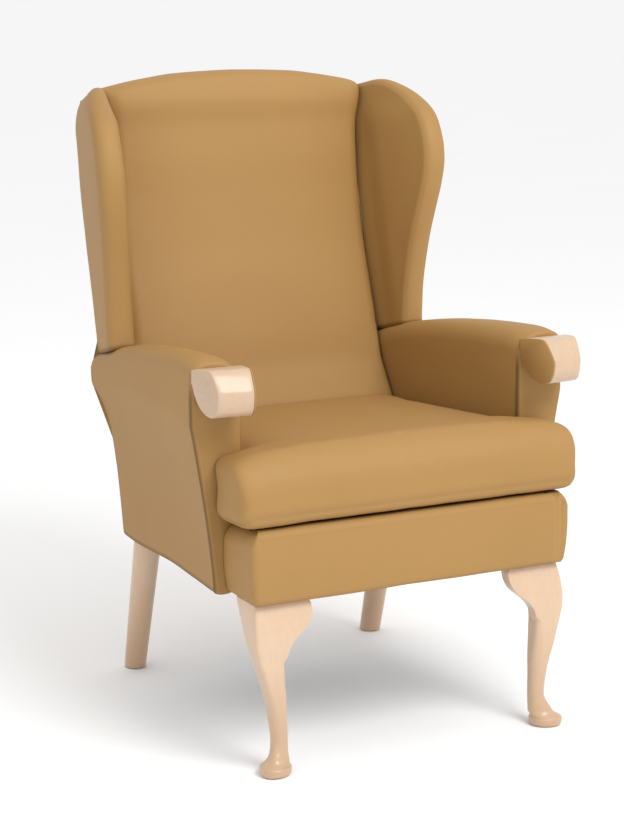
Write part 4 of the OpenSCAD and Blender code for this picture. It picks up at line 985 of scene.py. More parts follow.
class CHAIR_OT_back(bpy.types.Operator):
    """Make the padded inside back and the panel behind it"""
    bl_idname = "chair.back"
    bl_label = "Back"

    def execute(self, context):
        sizes = context.scene.chair_covers
        self.inside(sizes)
        self.outside(sizes)
        return {"FINISHED"}

    def inside(self, sizes):
        """Pad drawn as strips from its foot over its face and crown down to the top rail."""
        crown_r, rear_r, rear_d = 0.025, 0.016, 0.0086
        foot = PAD_SIDE[0][0] * BACK_LEN
        front_turn = np.linspace(0, math.pi / 2, 16)
        rear_turn = np.linspace(0, math.pi / 2, 9)[1:]
        strips, crease_shade_rows = [], []
        for t in np.sin(np.linspace(-math.pi / 2, math.pi / 2, 101)):
            crown = float(crown_at(t))
            face = np.linspace(foot, crown - crown_r, 74)[:-1]
            s = np.concatenate([face, crown - crown_r + crown_r * np.sin(front_turn)])
            half = pad_half_w(s)
            front = pad_depth(t, s)
            mid = (front + BACK_D) / 2
            upper = ease((s - WING_FOOT + 0.012) / 0.030)
            side_w = rounding(half * (1 - abs(t)) + 0.001, lerp(0.016, 0.026, upper))
            roll = np.concatenate([np.ones(len(face)), np.cos(front_turn)])
            edge = lerp(0.80, lerp(0.05, 0.55, ease((s - 0.70) / 0.06)), upper)
            d = mid + (front - mid) * (edge + (1 - edge) * side_w) * roll
            to_wing = np.sign(t) * abs(t) ** 12 * upper * lerp(0.25, 1, ease((s - 0.66) / 0.08))
            x = t * half + to_wing * np.maximum(0, wing_in(d) - 0.001)

            top_mid = (float(pad_depth(t, crown)) + BACK_D) / 2
            s_rear = np.concatenate([crown - rear_r * (1 - np.cos(rear_turn)),
                                     [POST_LEN + 0.004, POST_LEN + 0.001, foot]])
            d_rear = np.concatenate([top_mid - (top_mid - rear_d) * np.sin(rear_turn),
                                     [rear_d, PAD_D0, PAD_D0]])
            x_rear = t * (pad_half_w(s_rear) - 0.003)
            s_all, d_all = np.concatenate([s, s_rear]), np.concatenate([d, d_rear])
            strips.append(np.stack([np.concatenate([x, x_rear]), rake_y(s_all, d_all),
                                    rake_z(s_all, d_all)], 1))
            # Painted shade: the pad darkens in a narrow band along its sides, in the crease
            # against the wings, below the top
            side_crease_shade = np.exp(-(half * (1 - abs(t)) / 0.0035) ** 2) * (1 - ease((s - 0.74) / 0.03))
            crease_shade_rows.append(np.concatenate([side_crease_shade, np.zeros(len(s_rear))]))
        pad = loft("inside_back_cover", strips, painted_shade=np.array(crease_shade_rows))
        ruffle(pad, sizes.unevenness, 0.16, 5)
        upholster(pad, ("inside_back",))

    def outside(self, sizes):
        """Panel behind the chair, as wide as the arms and wings beside it, thin at its rim."""
        top = WING_FOOT + WING_LEN
        foot_x, arm_x, arm_z, crest, arm_r = 0.028, 0.060, 0.528, 0.581, 0.026
        inset = 0.012
        edge = []
        for h in (0, 0.2, 0.4, 0.6, 0.7, 0.8, 0.9, 1):
            edge.append((lerp(foot_x, arm_x, h ** 4.5),
                         (lerp(UNDER, arm_z, h) - UNDER) / math.cos(RAKE)))
        for a in map(math.radians, (15, 35, 55, 72)):
            edge.append((arm_x - arm_r + arm_r * math.cos(a),
                         (crest - 0.006 - arm_r + arm_r * math.sin(a) - UNDER) / math.cos(RAKE)))
        for t in (0.02, 0.15, 0.3, 0.45, 0.6, 0.75, 0.85, 0.92, 0.97, 1.0):
            s = WING_FOOT + WING_LEN * t
            edge.append((float(0.040 - wing_turn(s) + 0.001 * curve(t, WING_BELLY)), s))
        edge = np.array(sorted(edge, key=lambda p: p[1]))

        def half_at(s):
            return plane_x(rake_y(s, 0)) + np.interp(s, edge[:, 1], edge[:, 0])

        up = np.concatenate([np.linspace(0, 0.012, 6), np.linspace(0.02, 0.98, 90),
                             np.linspace(0.985, 1, 7)])
        corner, half_crown = float(half_at(top)), float(pad_half_w(BACK_LEN))
        strips = []
        for t in np.sin(np.linspace(-math.pi / 2, math.pi / 2, 75)):
            share = min(1.0, abs(t) * corner / (0.98 * half_crown))
            s_top = min(float(crown_at(share)) - inset, lerp(BACK_LEN - inset, top, abs(t) ** 8))
            s = lerp(-SKIRT_DROP, s_top, up)
            strips.append(np.stack([t * half_at(s), s], 1))
        grid = np.array(strips)
        rim = np.concatenate([grid[0], grid[:, -1], grid[-1][::-1], grid[::-1, 0]])
        near = distance_to(grid.reshape(-1, 2), rim).reshape(grid.shape[:2])
        d_out = 0.0062 * (1 - rounding(near, 0.007)) - sizes.back_bulge * ease(near / 0.16)
        rows = []
        for (x, s), d in zip(grid.transpose(0, 2, 1), d_out):
            outer = np.stack([x, rake_y(s, d), rake_z(s, d)], 1)
            inner = np.stack([x, rake_y(s, 0.0078), rake_z(s, 0.0078)], 1)[::-1]
            rows.append(np.concatenate([outer, inner]))
        panel = loft("outside_back_cover", rows)
        ruffle(panel, sizes.unevenness * 0.8, 0.2, 8)
        upholster(panel, ("outside_back",))


# ---------------------------------------------------------------------------------------
# The wings


# Pairs of a share of the wing's height, and of its reach or of its sideways shape there
WING_EDGE = [(0, 0.555), (0.15, 0.626), (0.306, 0.736), (0.431, 0.85), (0.525, 0.934),
             (0.611, 0.991), (0.709, 1), (0.801, 0.938), (0.869, 0.819), (0.92, 0.69),
             (0.966, 0.52), (0.99, 0.3), (1, 0.07)]
WING_FLARE = [(0, -0.13), (0.3, -0.13), (0.53, 0.55), (0.66, 0.77), (0.78, 1.0), (1, 1.3)]
WING_BELLY = [(0, 0.4), (0.15, 0.5), (0.27, 1.2), (0.42, 2.4), (0.6, 3.2), (0.75, 1.6),
              (0.9, 0.6), (1, 0)]


class CHAIR_OT_wings(bpy.types.Operator):
    """Make the two padded wings beside the back"""
    bl_idname = "chair.wings"
    bl_label = "Wings"

    def execute(self, context):
        sizes = context.scene.chair_covers
        for word, side in SIDES:
            self.wing(word, side, sizes)
        return {"FINISHED"}

    def wing(self, word, side, sizes):
        """Outer cover drawn round the padded edge and sewn to the flat inner panel."""
        line = self.edge(sizes)
        rim = np.vstack([line[0] + (0, -0.03), line])
        forward = 1 - (1 - np.linspace(0, 1, 46)) ** 1.9
        rings, wing_shade_rows = [], []
        for reach, s in line:
            d = lerp(BACK_D, max(reach, BACK_D + 0.0005), forward)
            near = distance_to(np.stack([d, np.full(len(d), s)], 1), rim)
            s_up, share = WING_FOOT + s, s / WING_LEN
            flare = sizes.wing_flare * curve(share, WING_FLARE) * (d / WING_REACH) ** 1.5
            plump = 0.0055 * ease((d - 0.07) / 0.05) * (1 - ease((share - 0.80) / 0.12))
            a = wing_in(d) + flare - plump
            b = wing_out(d, s_up) + flare + curve(share, WING_BELLY) * 0.001
            tip = a + 0.40 * (b - a)
            inner = tip - (tip - a) * np.maximum(0.03, soft_rounding(near, 0.012))
            outer = tip + (b - tip) * np.maximum(0.03, soft_rounding(near, 0.030))
            sewn = np.exp(-((near - 0.0042) / (0.4 * sizes.seam_width)) ** 2)
            inner = inner + sewn * sizes.seam_depth * 0.15 - 0.0015 * ease((near - 0.006) / 0.06)
            outer = outer + 0.0012 * ease(near / 0.07)
            y, z = rake_y(s_up, d), rake_z(s_up, d)
            rings.append(np.concatenate([
                np.stack([plane_x(y) + outer, y, z], 1),
                np.stack([plane_x(y) + np.maximum(inner, FIT), y, z], 1)[::-1]]))
            # Painted shade: the wing darkens where it stands on the arm, and faintly along its
            # sewn edge
            foot = 0.9 * math.exp(-((s + 0.006) / 0.006) ** 2)
            wing_shade_rows.append(np.maximum(np.concatenate([np.zeros(len(d)), 0.15 * sewn[::-1]]), foot))
        wing = loft(f"wing_cover_{word}", rings, side, np.array(wing_shade_rows))
        ruffle(wing, sizes.unevenness * 0.6, 0.12, 11)
        upholster(wing, (f"inside_wing_{word}", f"outside_wing_{word}"))

    def edge(self, sizes):
        """Side view of the padded edge as reach and height, from the arm to the back's crown."""
        line = spline([(d * WING_REACH, s * WING_LEN) for s, d in WING_EDGE]
                      + [(BACK_D, 1.001 * WING_LEN)], 170)
        share = line[:, 1] / WING_LEN
        grow = (sizes.wing_fullness * (0.55 + 0.45 * ease(2 * line[:, 1] / WING_LEN))
                * ease((line[:, 0] - 0.05) / 0.09) * (1 + 0.7 * ease((share - 0.7) / 0.12)))
        line = line + across(line) * grow[:, None]
        line[0, 1] = -0.006
        line[:, 1] = np.maximum.accumulate(line[:, 1]) + np.linspace(0, 0.0002, len(line))
        return line


# ---------------------------------------------------------------------------------------
# The arms


# v runs from 0 at an arm's front to 1 where it meets the back.
ARM_OUT_FRONT, ARM_OUT_REAR = 0.071, 0.060  # outer face of the roll beside the side plane


def arm_y(v, z):
    """Depth of an arm's section, which leans more towards the back."""
    return lerp(ARM_Y0, rear_y(z, BACK_D), v)


def wing_seat_z(v):
    """Height at which an arm's section meets the foot of the wings."""
    level = (1 - v) * (ARM_Y0 - BODY_D) - v * BACK_D / math.cos(RAKE)
    return (UNDER + (WING_FOOT - math.sin(RAKE) * level)
            / (math.cos(RAKE) + math.sin(RAKE) * v * math.tan(RAKE)))


def arm_floor_z(v):
    """Height at which an arm's section meets the underside of the deck."""
    rear = BODY_D - math.tan(RAKE) * UNDER - BACK_D / math.cos(RAKE)
    return ((DECK_Z + math.tan(FALL) * DECK_Y - DECK_T
             - math.tan(FALL) * ((1 - v) * ARM_Y0 + v * rear))
            / (1 + math.tan(FALL) * v * math.tan(RAKE)) + FIT)


def crest_z(v):
    """Crest of the roll, no higher than the wings' foot."""
    return min(ARM_H - ARM_FALL * v ** 1.7, wing_seat_z(v))


def crest_line(v):
    """Crest of the roll, drawn down to the grip at its front."""
    v = float(v)
    return (crest_z(v) - 0.0030 * float(ease(v / 0.12)) * (1 - v) ** 0.5 - 0.0012 * (1 - v)
            - 0.0070 * max(0.0, 1 - v / 0.11) ** 2 + 0.0020 * math.exp(-((v - 0.62) / 0.22) ** 2))


def arm_shape(v):
    """Inner and outer width, foot, foot of the roll, crest and the radii of the two edges."""
    return dict(xi=-lerp(ARM_IN_FRONT, 0.0035, v), xo=lerp(ARM_OUT_FRONT, ARM_OUT_REAR, v),
                foot=lerp(0.033, 0.028, v), roll=crest_z(v) - lerp(0.110, 0.053, v),
                crest=crest_line(v), rw=lerp(0.040, 0.026, v), rh=lerp(0.034, 0.026, v),
                ro=lerp(0.022, 0.026, v))


def arm_top(v, count=15):
    """Rounded top of an arm from its inner face over the crest to its outer face."""
    a = arm_shape(v)
    ze = a["crest"] - 0.006
    xm = (a["xi"] + a["rw"] + a["xo"] - a["ro"]) / 2
    power = 2 / 2.35
    th = np.linspace(0, math.pi / 2, count)
    inner = np.stack([xm - (xm - a["xi"]) * np.cos(th) ** power,
                      ze - a["rh"] + (a["crest"] - ze + a["rh"]) * np.sin(th) ** power], 1)
    outer = np.stack([xm + (a["xo"] - xm) * np.sin(th) ** power,
                      ze - a["ro"] + (a["crest"] - ze + a["ro"]) * np.cos(th) ** power], 1)[1:]
    return inner, outer


def skirt_x(v, h):
    """Outer face of an arm under its roll, at a share of the height up to the roll."""
    a = arm_shape(v)
    return lerp(a["foot"], a["xo"], h ** lerp(1.3, 4.5, v))


class CHAIR_OT_arms(bpy.types.Operator):
    """Make the covers of the arms and the panels on their fronts"""
    bl_idname = "chair.arms"
    bl_label = "Arms"

    def execute(self, context):
        sizes = context.scene.chair_covers
        for word, side in SIDES:
            self.cover(word, side, sizes)
            self.facing(word, side, sizes)
        return {"FINISHED"}

    def cover(self, word, side, sizes):
        """Inner pad, roll and outer panel in one, hollow for the arm's wood."""
        length, crease_depth = 0.45, 0.0026
        lining_in = 0.006
        stations = np.unique(np.concatenate([np.linspace(0, 0.012, 6), np.linspace(0.02, 1, 64)]))
        rings, crease_shade_rows = [], []
        for v in stations:
            a = arm_shape(v)
            inner, outer = arm_top(v)
            floor_z = arm_floor_z(v)
            up = np.linspace(floor_z, inner[0, 1], 22)[:-1]
            down = np.linspace(outer[-1, 1], a["roll"], 5)[1:-1]
            h = np.linspace(1, 0, 34)
            low = UNDER - SKIRT_DROP * float(ease((v - 0.4) / 0.5))
            skirt = np.stack([skirt_x(v, h), lerp(low, a["roll"], h)], 1)
            face = np.concatenate([np.stack([np.full(len(up), a["xi"]), up], 1), inner, outer,
                                   np.stack([np.full(len(down), a["xo"]), down], 1), skirt])
            turn = skirt[-1, 0] - np.array((0.0008, 0.0032, 0.006))
            turn = np.stack([turn, low - np.array((0.0006, 0.0008, 0))], 1)
            h = np.linspace(0.02, 1, 8)
            lining = np.stack([skirt_x(v, h) - lining_in, lerp(UNDER, a["roll"], h)], 1)
            pocket = lerp(ARM_H, ARM_H - ARM_FALL, v) - 0.019 + FIT
            core = np.array([[a["xo"] - lining_in, pocket], [-FIT, pocket], [-FIT, floor_z]])
            section = np.concatenate([face, turn, lining, core])
            y = arm_y(v, section[:, 1])
            x, z = section[:, 0].copy(), section[:, 1].copy()
            count = len(face)
            inwards = across(face)
            low_down = 1 - ease((face[:, 1] - a["crest"] + 0.060) / 0.035)
            front = 1 - float(rounding((v + 0.0001) * length, 0.005))
            x[:count] += inwards[:, 0] * front * crease_depth * low_down
            z[:count] += inwards[:, 1] * front * crease_depth * low_down
            # Painted shade: the cover darkens in the crease at its front end, against the facing,
            # and along its lower rim where it turns under
            dark = np.zeros(len(section))
            dark[:count] = 0.9 * math.exp(-(v * length / 0.003) ** 2) * low_down
            dark[count - 1:count + len(turn)] = 0.8
            crease_shade_rows.append(dark)
            behind_post = (rear_y(z, 0) - y) * math.cos(RAKE) < POST_FRONT + 0.0014 + FIT
            x = np.where(behind_post & (x < FIT), FIT, x)
            x[-2:] = np.where(x[-2:] >= FIT, x[-2:] + 0.0006, x[-2:])
            rings.append(np.stack([plane_x(y) + x, y, z], 1))
        cover = loft(f"arm_cover_{word}", rings, side, np.array(crease_shade_rows))
        ruffle(cover, sizes.unevenness, 0.14, 17)
        upholster(cover, (f"inside_arm_{word}", f"arm_roll_{word}", f"outside_arm_{word}"))

    def facing(self, word, side, sizes):
        """Front panel of an arm, filled in its outline and rounded off towards its rim."""
        a = arm_shape(0.0)
        top = a["crest"]
        inner, outer = arm_top(0.0, 20)
        floor_z = deck_z(ARM_SET) - DECK_T + FIT
        left = [(FIT, UNDER), (FIT, floor_z - 0.004), (FIT - 0.002, floor_z),
                (a["xi"], floor_z + 0.004)]
        left += [(a["xi"], z) for z in np.linspace(floor_z + 0.008, inner[0, 1], 40)[:-1]]
        left = np.array(left + inner.tolist())
        h = np.linspace(0, 1, 60)
        upper = np.linspace(a["roll"], outer[-1, 1], 12)[1:-1]
        right = np.concatenate([np.stack([skirt_x(0.0, h), lerp(UNDER, a["roll"], h)], 1),
                                np.stack([np.full(len(upper), a["xo"]), upper], 1),
                                outer[::-1], inner[-1:]])
        rim = np.concatenate([left, right[::-1], left[:1]])
        shares = (1 - np.cos(np.linspace(0, math.pi, 41))) / 2
        rows = []
        for z in np.concatenate([np.linspace(UNDER, UNDER + 0.008, 5),
                                 np.linspace(UNDER + 0.012, top - 0.04, 70),
                                 top - 0.04 * (1 - np.sin(np.linspace(0.05, math.pi / 2, 26)))]):
            x0 = float(np.interp(z, left[:, 1], left[:, 0]))
            x1 = float(np.interp(z, right[:, 1], right[:, 0]))
            if z >= top - 1e-6:
                x0 = x1 = float(inner[-1, 0])
            rows.append(np.stack([lerp(x0, x1, shares), np.full(len(shares), z)], 1))
        grid = np.array(rows)
        near = distance_to(grid.reshape(-1, 2), rim).reshape(grid.shape[:2])
        sag = 0.006 * (1 - ease((grid[..., 1] - UNDER) / 0.03))
        grid[..., 1] -= sag * np.sin(math.pi * shares) ** 0.5
        high = ease((grid[..., 1] - top + 0.060) / 0.035)
        front = (ARM_Y0 - 0.0008 - 0.0072 * rounding(near, lerp(0.0042, 0.0065, high))
                 - 0.0012 * ease(near / 0.03))
        # Painted shade: the panel darkens in a narrow band at its rim, below the roll, and over
        # its back face
        crease = np.exp(-(near / 0.0022) ** 2) * (1 - high)
        rings, crease_shade_rows = [], []
        for (x, z), y, dark, up in zip(grid.transpose(0, 2, 1), front, crease, high):
            x = x + SIDE_X
            rings.append(np.concatenate([
                np.stack([x, y, z], 1),
                np.stack([x, np.full(len(x), ARM_Y0 - 0.0003), z], 1)[::-1]]))
            crease_shade_rows.append(np.concatenate([dark, (1 - up)[::-1]]))
        facing = loft(f"arm_facing_cover_{word}", rings, side, np.array(crease_shade_rows))
        ruffle(facing, sizes.unevenness * 0.6, 0.08, 23)
        upholster(facing, (f"arm_facing_{word}",))


# ---------------------------------------------------------------------------------------
# The front border, the deck and the underside


class CHAIR_OT_seat(bpy.types.Operator):
    """Make the padded front border, the seat deck and the cloth under the frame"""
    bl_idname = "chair.seat"
    bl_label = "Seat border, deck and underside"

    def execute(self, context):
        sizes = context.scene.chair_covers
        self.border(sizes)
        self.deck()
        self.dust()
        return {"FINISHED"}

    def border(self, sizes):
        """Padded border across the front, with its returns along the sides, as one loft."""
        foot_x, head_x = plane_x(0) + 0.0085, plane_x(0) + 0.0175
        flare_x = head_x - foot_x
        corner, top_side, top_front = 0.008, 0.034, 0.014
        face_rows, round_rows = 22, 13

        def ring(px, py, nx, ny, side_share, head):
            """Section that stands on a point of the plan, with its outward direction."""
            r = lerp(top_front, top_side, side_share)
            zt = deck_z(0.014 if side_share < 1 else max(0.014, py)) - 0.002
            belly = sizes.border_belly
            z_high = zt - r
            out = []
            for u in np.linspace(0, 1, face_rows):
                z = lerp(UNDER + 0.002, z_high, u)
                push = (head * ((z - UNDER) / (zt - UNDER))
                        + belly * math.sin(math.pi * min(1, u * 0.92 + 0.04))
                        - 0.003 * (1 - ease(u / 0.06)))
                out.append((push, z))
            for a in np.linspace(0, math.pi / 2, round_rows + 1)[1:]:
                out.append((head * ((z_high - UNDER) / (zt - UNDER)) - r * (1 - math.cos(a))
                            + belly * 0.3 * math.cos(a), z_high + r * math.sin(a)))
            out += [(-0.036, zt - 0.0003), (-0.038, zt - 0.010), (-0.0128, zt - 0.022),
                    (-0.0128, UNDER + 0.004), (-0.008, UNDER + 0.0014)]
            return [(px + nx * o, py + ny * o, z) for o, z in out]

        left = [ring(-foot_x, y, -1, 0, 1.0, flare_x)
                for y in np.linspace(ARM_SET - FIT - 0.0005, corner, 18)[:-1]]
        for a in np.linspace(0, math.pi / 2, 12):
            nx, ny = -math.cos(a), -math.sin(a)
            left.append(ring(-foot_x + corner + nx * corner, corner + ny * corner, nx, ny,
                             1 - float(ease(a / (math.pi / 2))), flare_x * math.cos(a)))
        middle = [ring(x, 0.0, 0, -1, 0.0, 0.0)
                  for x in np.linspace(-foot_x + corner, foot_x - corner, 66)[1:-1]]
        right = [[(-x, y, z) for x, y, z in row] for row in (left + middle)[29::-1]]
        rows = left + middle + right
        # Painted shade: the border darkens over the back of its top roll and fully where it turns
        # in under the cushion
        dark = np.zeros(len(rows[0]))
        top = face_rows + round_rows
        dark[face_rows:top] = ease((np.arange(round_rows) - 7) / 5)
        dark[top:top + 3] = 1
        border = loft("front_border_cover", rows, painted_shade=np.tile(dark, (len(rows), 1)))
        ruffle(border, sizes.unevenness * 0.9, 0.10, 29)
        upholster(border, ("front_border",))

    def deck(self):
        """Padded deck cloth over the springs, quilted slightly by them."""
        front, arm, rear = 0.0226, 0.1052, 0.5194
        spring_pitch = 0.101
        rows = []
        for y in np.concatenate([np.linspace(front, arm - 0.0005, 12),
                                 np.linspace(arm + 0.0005, rear, 50)]):
            half = SIDE_X - 0.0010 if y < arm else plane_x(y) - 0.0158
            x = np.linspace(-1, 1, 61) * half
            near = np.minimum(half - np.abs(x), np.minimum(y - front, rear - y) + 0.0005)
            lift = DECK_T * (0.35 + 0.65 * rounding(near + 0.0002, 0.006)) - 0.0002
            quilt = 0.5 + 0.5 * np.cos(x * 2 * math.pi / spring_pitch)
            lift = lift - 0.0006 * quilt * ease(near / 0.03)
            zb, depth = deck_z(y) - DECK_T, np.full(len(x), y)
            rows.append(np.concatenate([
                np.stack([x, depth, zb + lift], 1),
                np.stack([x, depth, np.full(len(x), zb + 0.0001)], 1)[::-1]]))
        deck = loft("seat_deck_cover", rows)
        dress(deck, finish("deck"), "chair", ("seat_deck",))

    def dust(self):
        """Cloth stapled under the frame, cut round the legs."""
        lo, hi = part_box("dust_cover")
        y_front, y_rear = lo.y + MIDDLE, hi.y + MIDDLE
        front_cut, front_half = 0.078, 0.176
        rear_cut, rear_half = 0.4955, 0.2165
        ys = np.unique(np.concatenate([
            np.linspace(y_front, front_cut, 10), [front_cut + 0.0005],
            np.linspace(front_cut + 0.001, rear_cut, 44), [rear_cut + 0.0005],
            np.linspace(rear_cut + 0.001, y_rear, 8)]))
        rows = []
        for y in ys:
            side = plane_x(min(max(y, 0.112), 0.49)) - 0.0042
            half = front_half if y <= front_cut else side if y <= rear_cut else rear_half
            x = np.linspace(-1, 1, 61) * half
            near = np.minimum(side - np.abs(x), np.minimum(y - y_front, y_rear - y))
            sag = 0.0042 * ease(near / 0.12)
            pleat = 0.00035 * np.sin(y * 260 + x * 40) * np.exp(-np.abs(near) / 0.012)
            rows.append(np.stack([x, np.full(len(x), y), UNDER - 0.0010 - sag - np.abs(pleat)], 1))
        grid = np.array(rows)
        cloth = loft("bottom_cloth", grid, caps=False, wrap=False)
        mod = cloth.modifiers.new("Cloth thickness", "SOLIDIFY")
        mod.thickness, mod.offset = 0.0006, 0
        dress(cloth, finish("dust"), "chair", ("dust_cover",))
        half = grid[:, -1, 0]
        area = float(((half[:-1] + half[1:]) * np.diff(ys)).sum())


# ---------------------------------------------------------------------------------------
# Show wood


# Side view of a grip: shares of its reach and of its height down from the top
GRIP_SIDE = [(0, 0.08), (0.2, 0.035), (0.42, 0.01), (0.6, 0), (0.69, 0.015), (0.76, 0.07),
             (0.87, 0.22), (0.955, 0.36), (0.99, 0.43), (1, 0.5), (0.997, 0.58), (0.98, 0.69),
             (0.945, 0.8), (0.89, 0.9), (0.8, 0.97), (0.69, 1), (0.56, 0.985), (0.45, 0.95),
             (0.3, 0.86), (0.17, 0.72), (0.07, 0.55), (0, 0.37)]
# Sections of a front leg: share of the height, offsets, widths and the two corner radii, which
# are shares of the width of its head, ankle or pad
LEG_HEAD = [
    (1, 0.03, 0.10, 1.04, 1.2, 0.1, 0.05), (0.935, 0.06, -0.073, 1.11, 1.08, 0.1, 0.05),
    (0.87, 0.078, -0.237, 1.16, 0.93, 0.11, 0.06), (0.8, 0.096, -0.37, 1.19, 0.78, 0.12, 0.1),
    (0.74, 0.1, -0.445, 1.133, 0.68, 0.13, 0.17), (0.68, 0.07, -0.475, 1.05, 0.64, 0.14, 0.22),
    (0.6, -0.01, -0.485, 0.93, 0.66, 0.16, 0.27)]
LEG_ANKLE = [
    (0.52, 0.34, 0.12, 1.33, 1.4, 0.25, 0.5), (0.42, 0.17, 0.08, 1.21, 1.25, 0.357, 0.55),
    (0.31, 0.08, 0.04, 1.09, 1.1, 0.5, 0.52), (0.2, 0, 0, 1, 1, 0.48, 0.48),
    (0.14, 0.01, -0.03, 1.02, 1.02, 0.5, 0.5), (0.105, 0.05, -0.07, 1.1, 1.1, 0.54, 0.54),
    (0.075, 0.13, -0.15, 1.28, 1.28, 0.63, 0.63)]
LEG_PAD = [
    (0.057, -0.03, 0.02, 0.80, 0.80, 0.4, 0.4), (0.046, 0, 0, 0.935, 0.935, 0.465, 0.465),
    (0.041, 0, 0, 0.95, 0.95, 0.472, 0.472), (0.02, 0, 0, 0.945, 0.945, 0.47, 0.47),
    (0.006, 0, 0, 0.91, 0.91, 0.45, 0.45), (0, 0, 0, 0.84, 0.84, 0.42, 0.42)]
# How far the toe points out over the height, and the ear over its own height down
LEG_TOE = [(0, 0.0045), (0.045, 0.005), (0.075, 0.0085), (0.1, 0.0085), (0.13, 0.005), (0.17, 0)]
EAR_REACH = [(0, 0.89), (0.05, 0.925), (0.12, 0.95), (0.2, 0.95), (0.3, 0.93), (0.43, 0.855),
             (0.56, 0.7), (0.68, 0.49), (0.8, 0.30), (0.91, 0.17), (1, 0.10), (1.12, 0.05),
             (1.3, 0.02)]
LEG_FOOT, LEG_TOP = 0.0015, UNDER - 0.0002  # between the glide and the underside of the seat


class CHAIR_OT_grips(bpy.types.Operator):
    """Make the two wooden hand grips and their covered inner cheeks"""
    bl_idname = "chair.grips"
    bl_label = "Hand grips"

    def execute(self, context):
        for word, side in SIDES:
            self.grip(word, side)
        return {"FINISHED"}

    def grip(self, word, side):
        """Grip whose front is narrower than its back, with the cheek on its inner side."""
        top, height, reach = ARM_H - 0.012, 0.074, 0.084
        in_rear, out_rear = -ARM_IN_FRONT, ARM_OUT_FRONT
        out_front = out_rear - 0.014
        in_front = out_front - 0.058
        cheek, skew, r = 0.0025, 0.0095, 0.0022
        outline = spline(GRIP_SIDE, 96)
        flat = np.stack([outline[:, 0] * reach, top - outline[:, 1] * height], 1)
        normal = across(flat)
        middle = np.array([0.45 * reach, top - 0.5 * height])
        inward = np.sign(((middle - flat) * normal).sum(1))[:, None] * normal

        def at(share, edge, x_rear, x_front):
            """Side view at a share across, drawn in at its edge, from the arm to the front."""
            pts = flat + inward * edge
            pts[0, 0] = pts[-1, 0] = 0
            pts[:, 0] = np.maximum(pts[:, 0], 0) * lerp(1.0, 1.0 - skew / reach, share)
            x = SIDE_X + lerp(x_rear, x_front, clamp(pts[:, 0] / reach))
            return np.stack([x, ARM_SET - pts[:, 0], pts[:, 1]], 1)

        rings = []
        for k in np.linspace(0, math.pi / 2, 6):
            rings.append(at(0, r * (1 - math.sin(k)), in_rear + cheek + r * (1 - math.cos(k)),
                            in_front + cheek + r * (1 - math.cos(k))))
        for u in np.linspace(0.05, 0.95, 14):
            rings.append(at(u, 0, lerp(in_rear + cheek, out_rear, u),
                            lerp(in_front + cheek, out_front, u)))
        for k in np.linspace(0, math.pi / 2, 6):
            rings.append(at(1, r * (1 - math.cos(k)), out_rear - r * (1 - math.sin(k)),
                            out_front - r * (1 - math.sin(k))))
        grip = loft(f"hand_grip_{word}_wood", rings, side)
        dress(grip, finish("shaded beech for grips"), "chair", (f"hand_grip_{word}",))

        skin = [at(0, edge, in_rear + off, in_front + off)
                for edge, off in ((0.0009, 0.0), (0.0002, 0.0007), (0, 0.0016), (0, cheek))]
        pad = loft(f"grip_cheek_{word}_cover", skin, side)
        upholster(pad, (f"grip_cheek_{word}",))


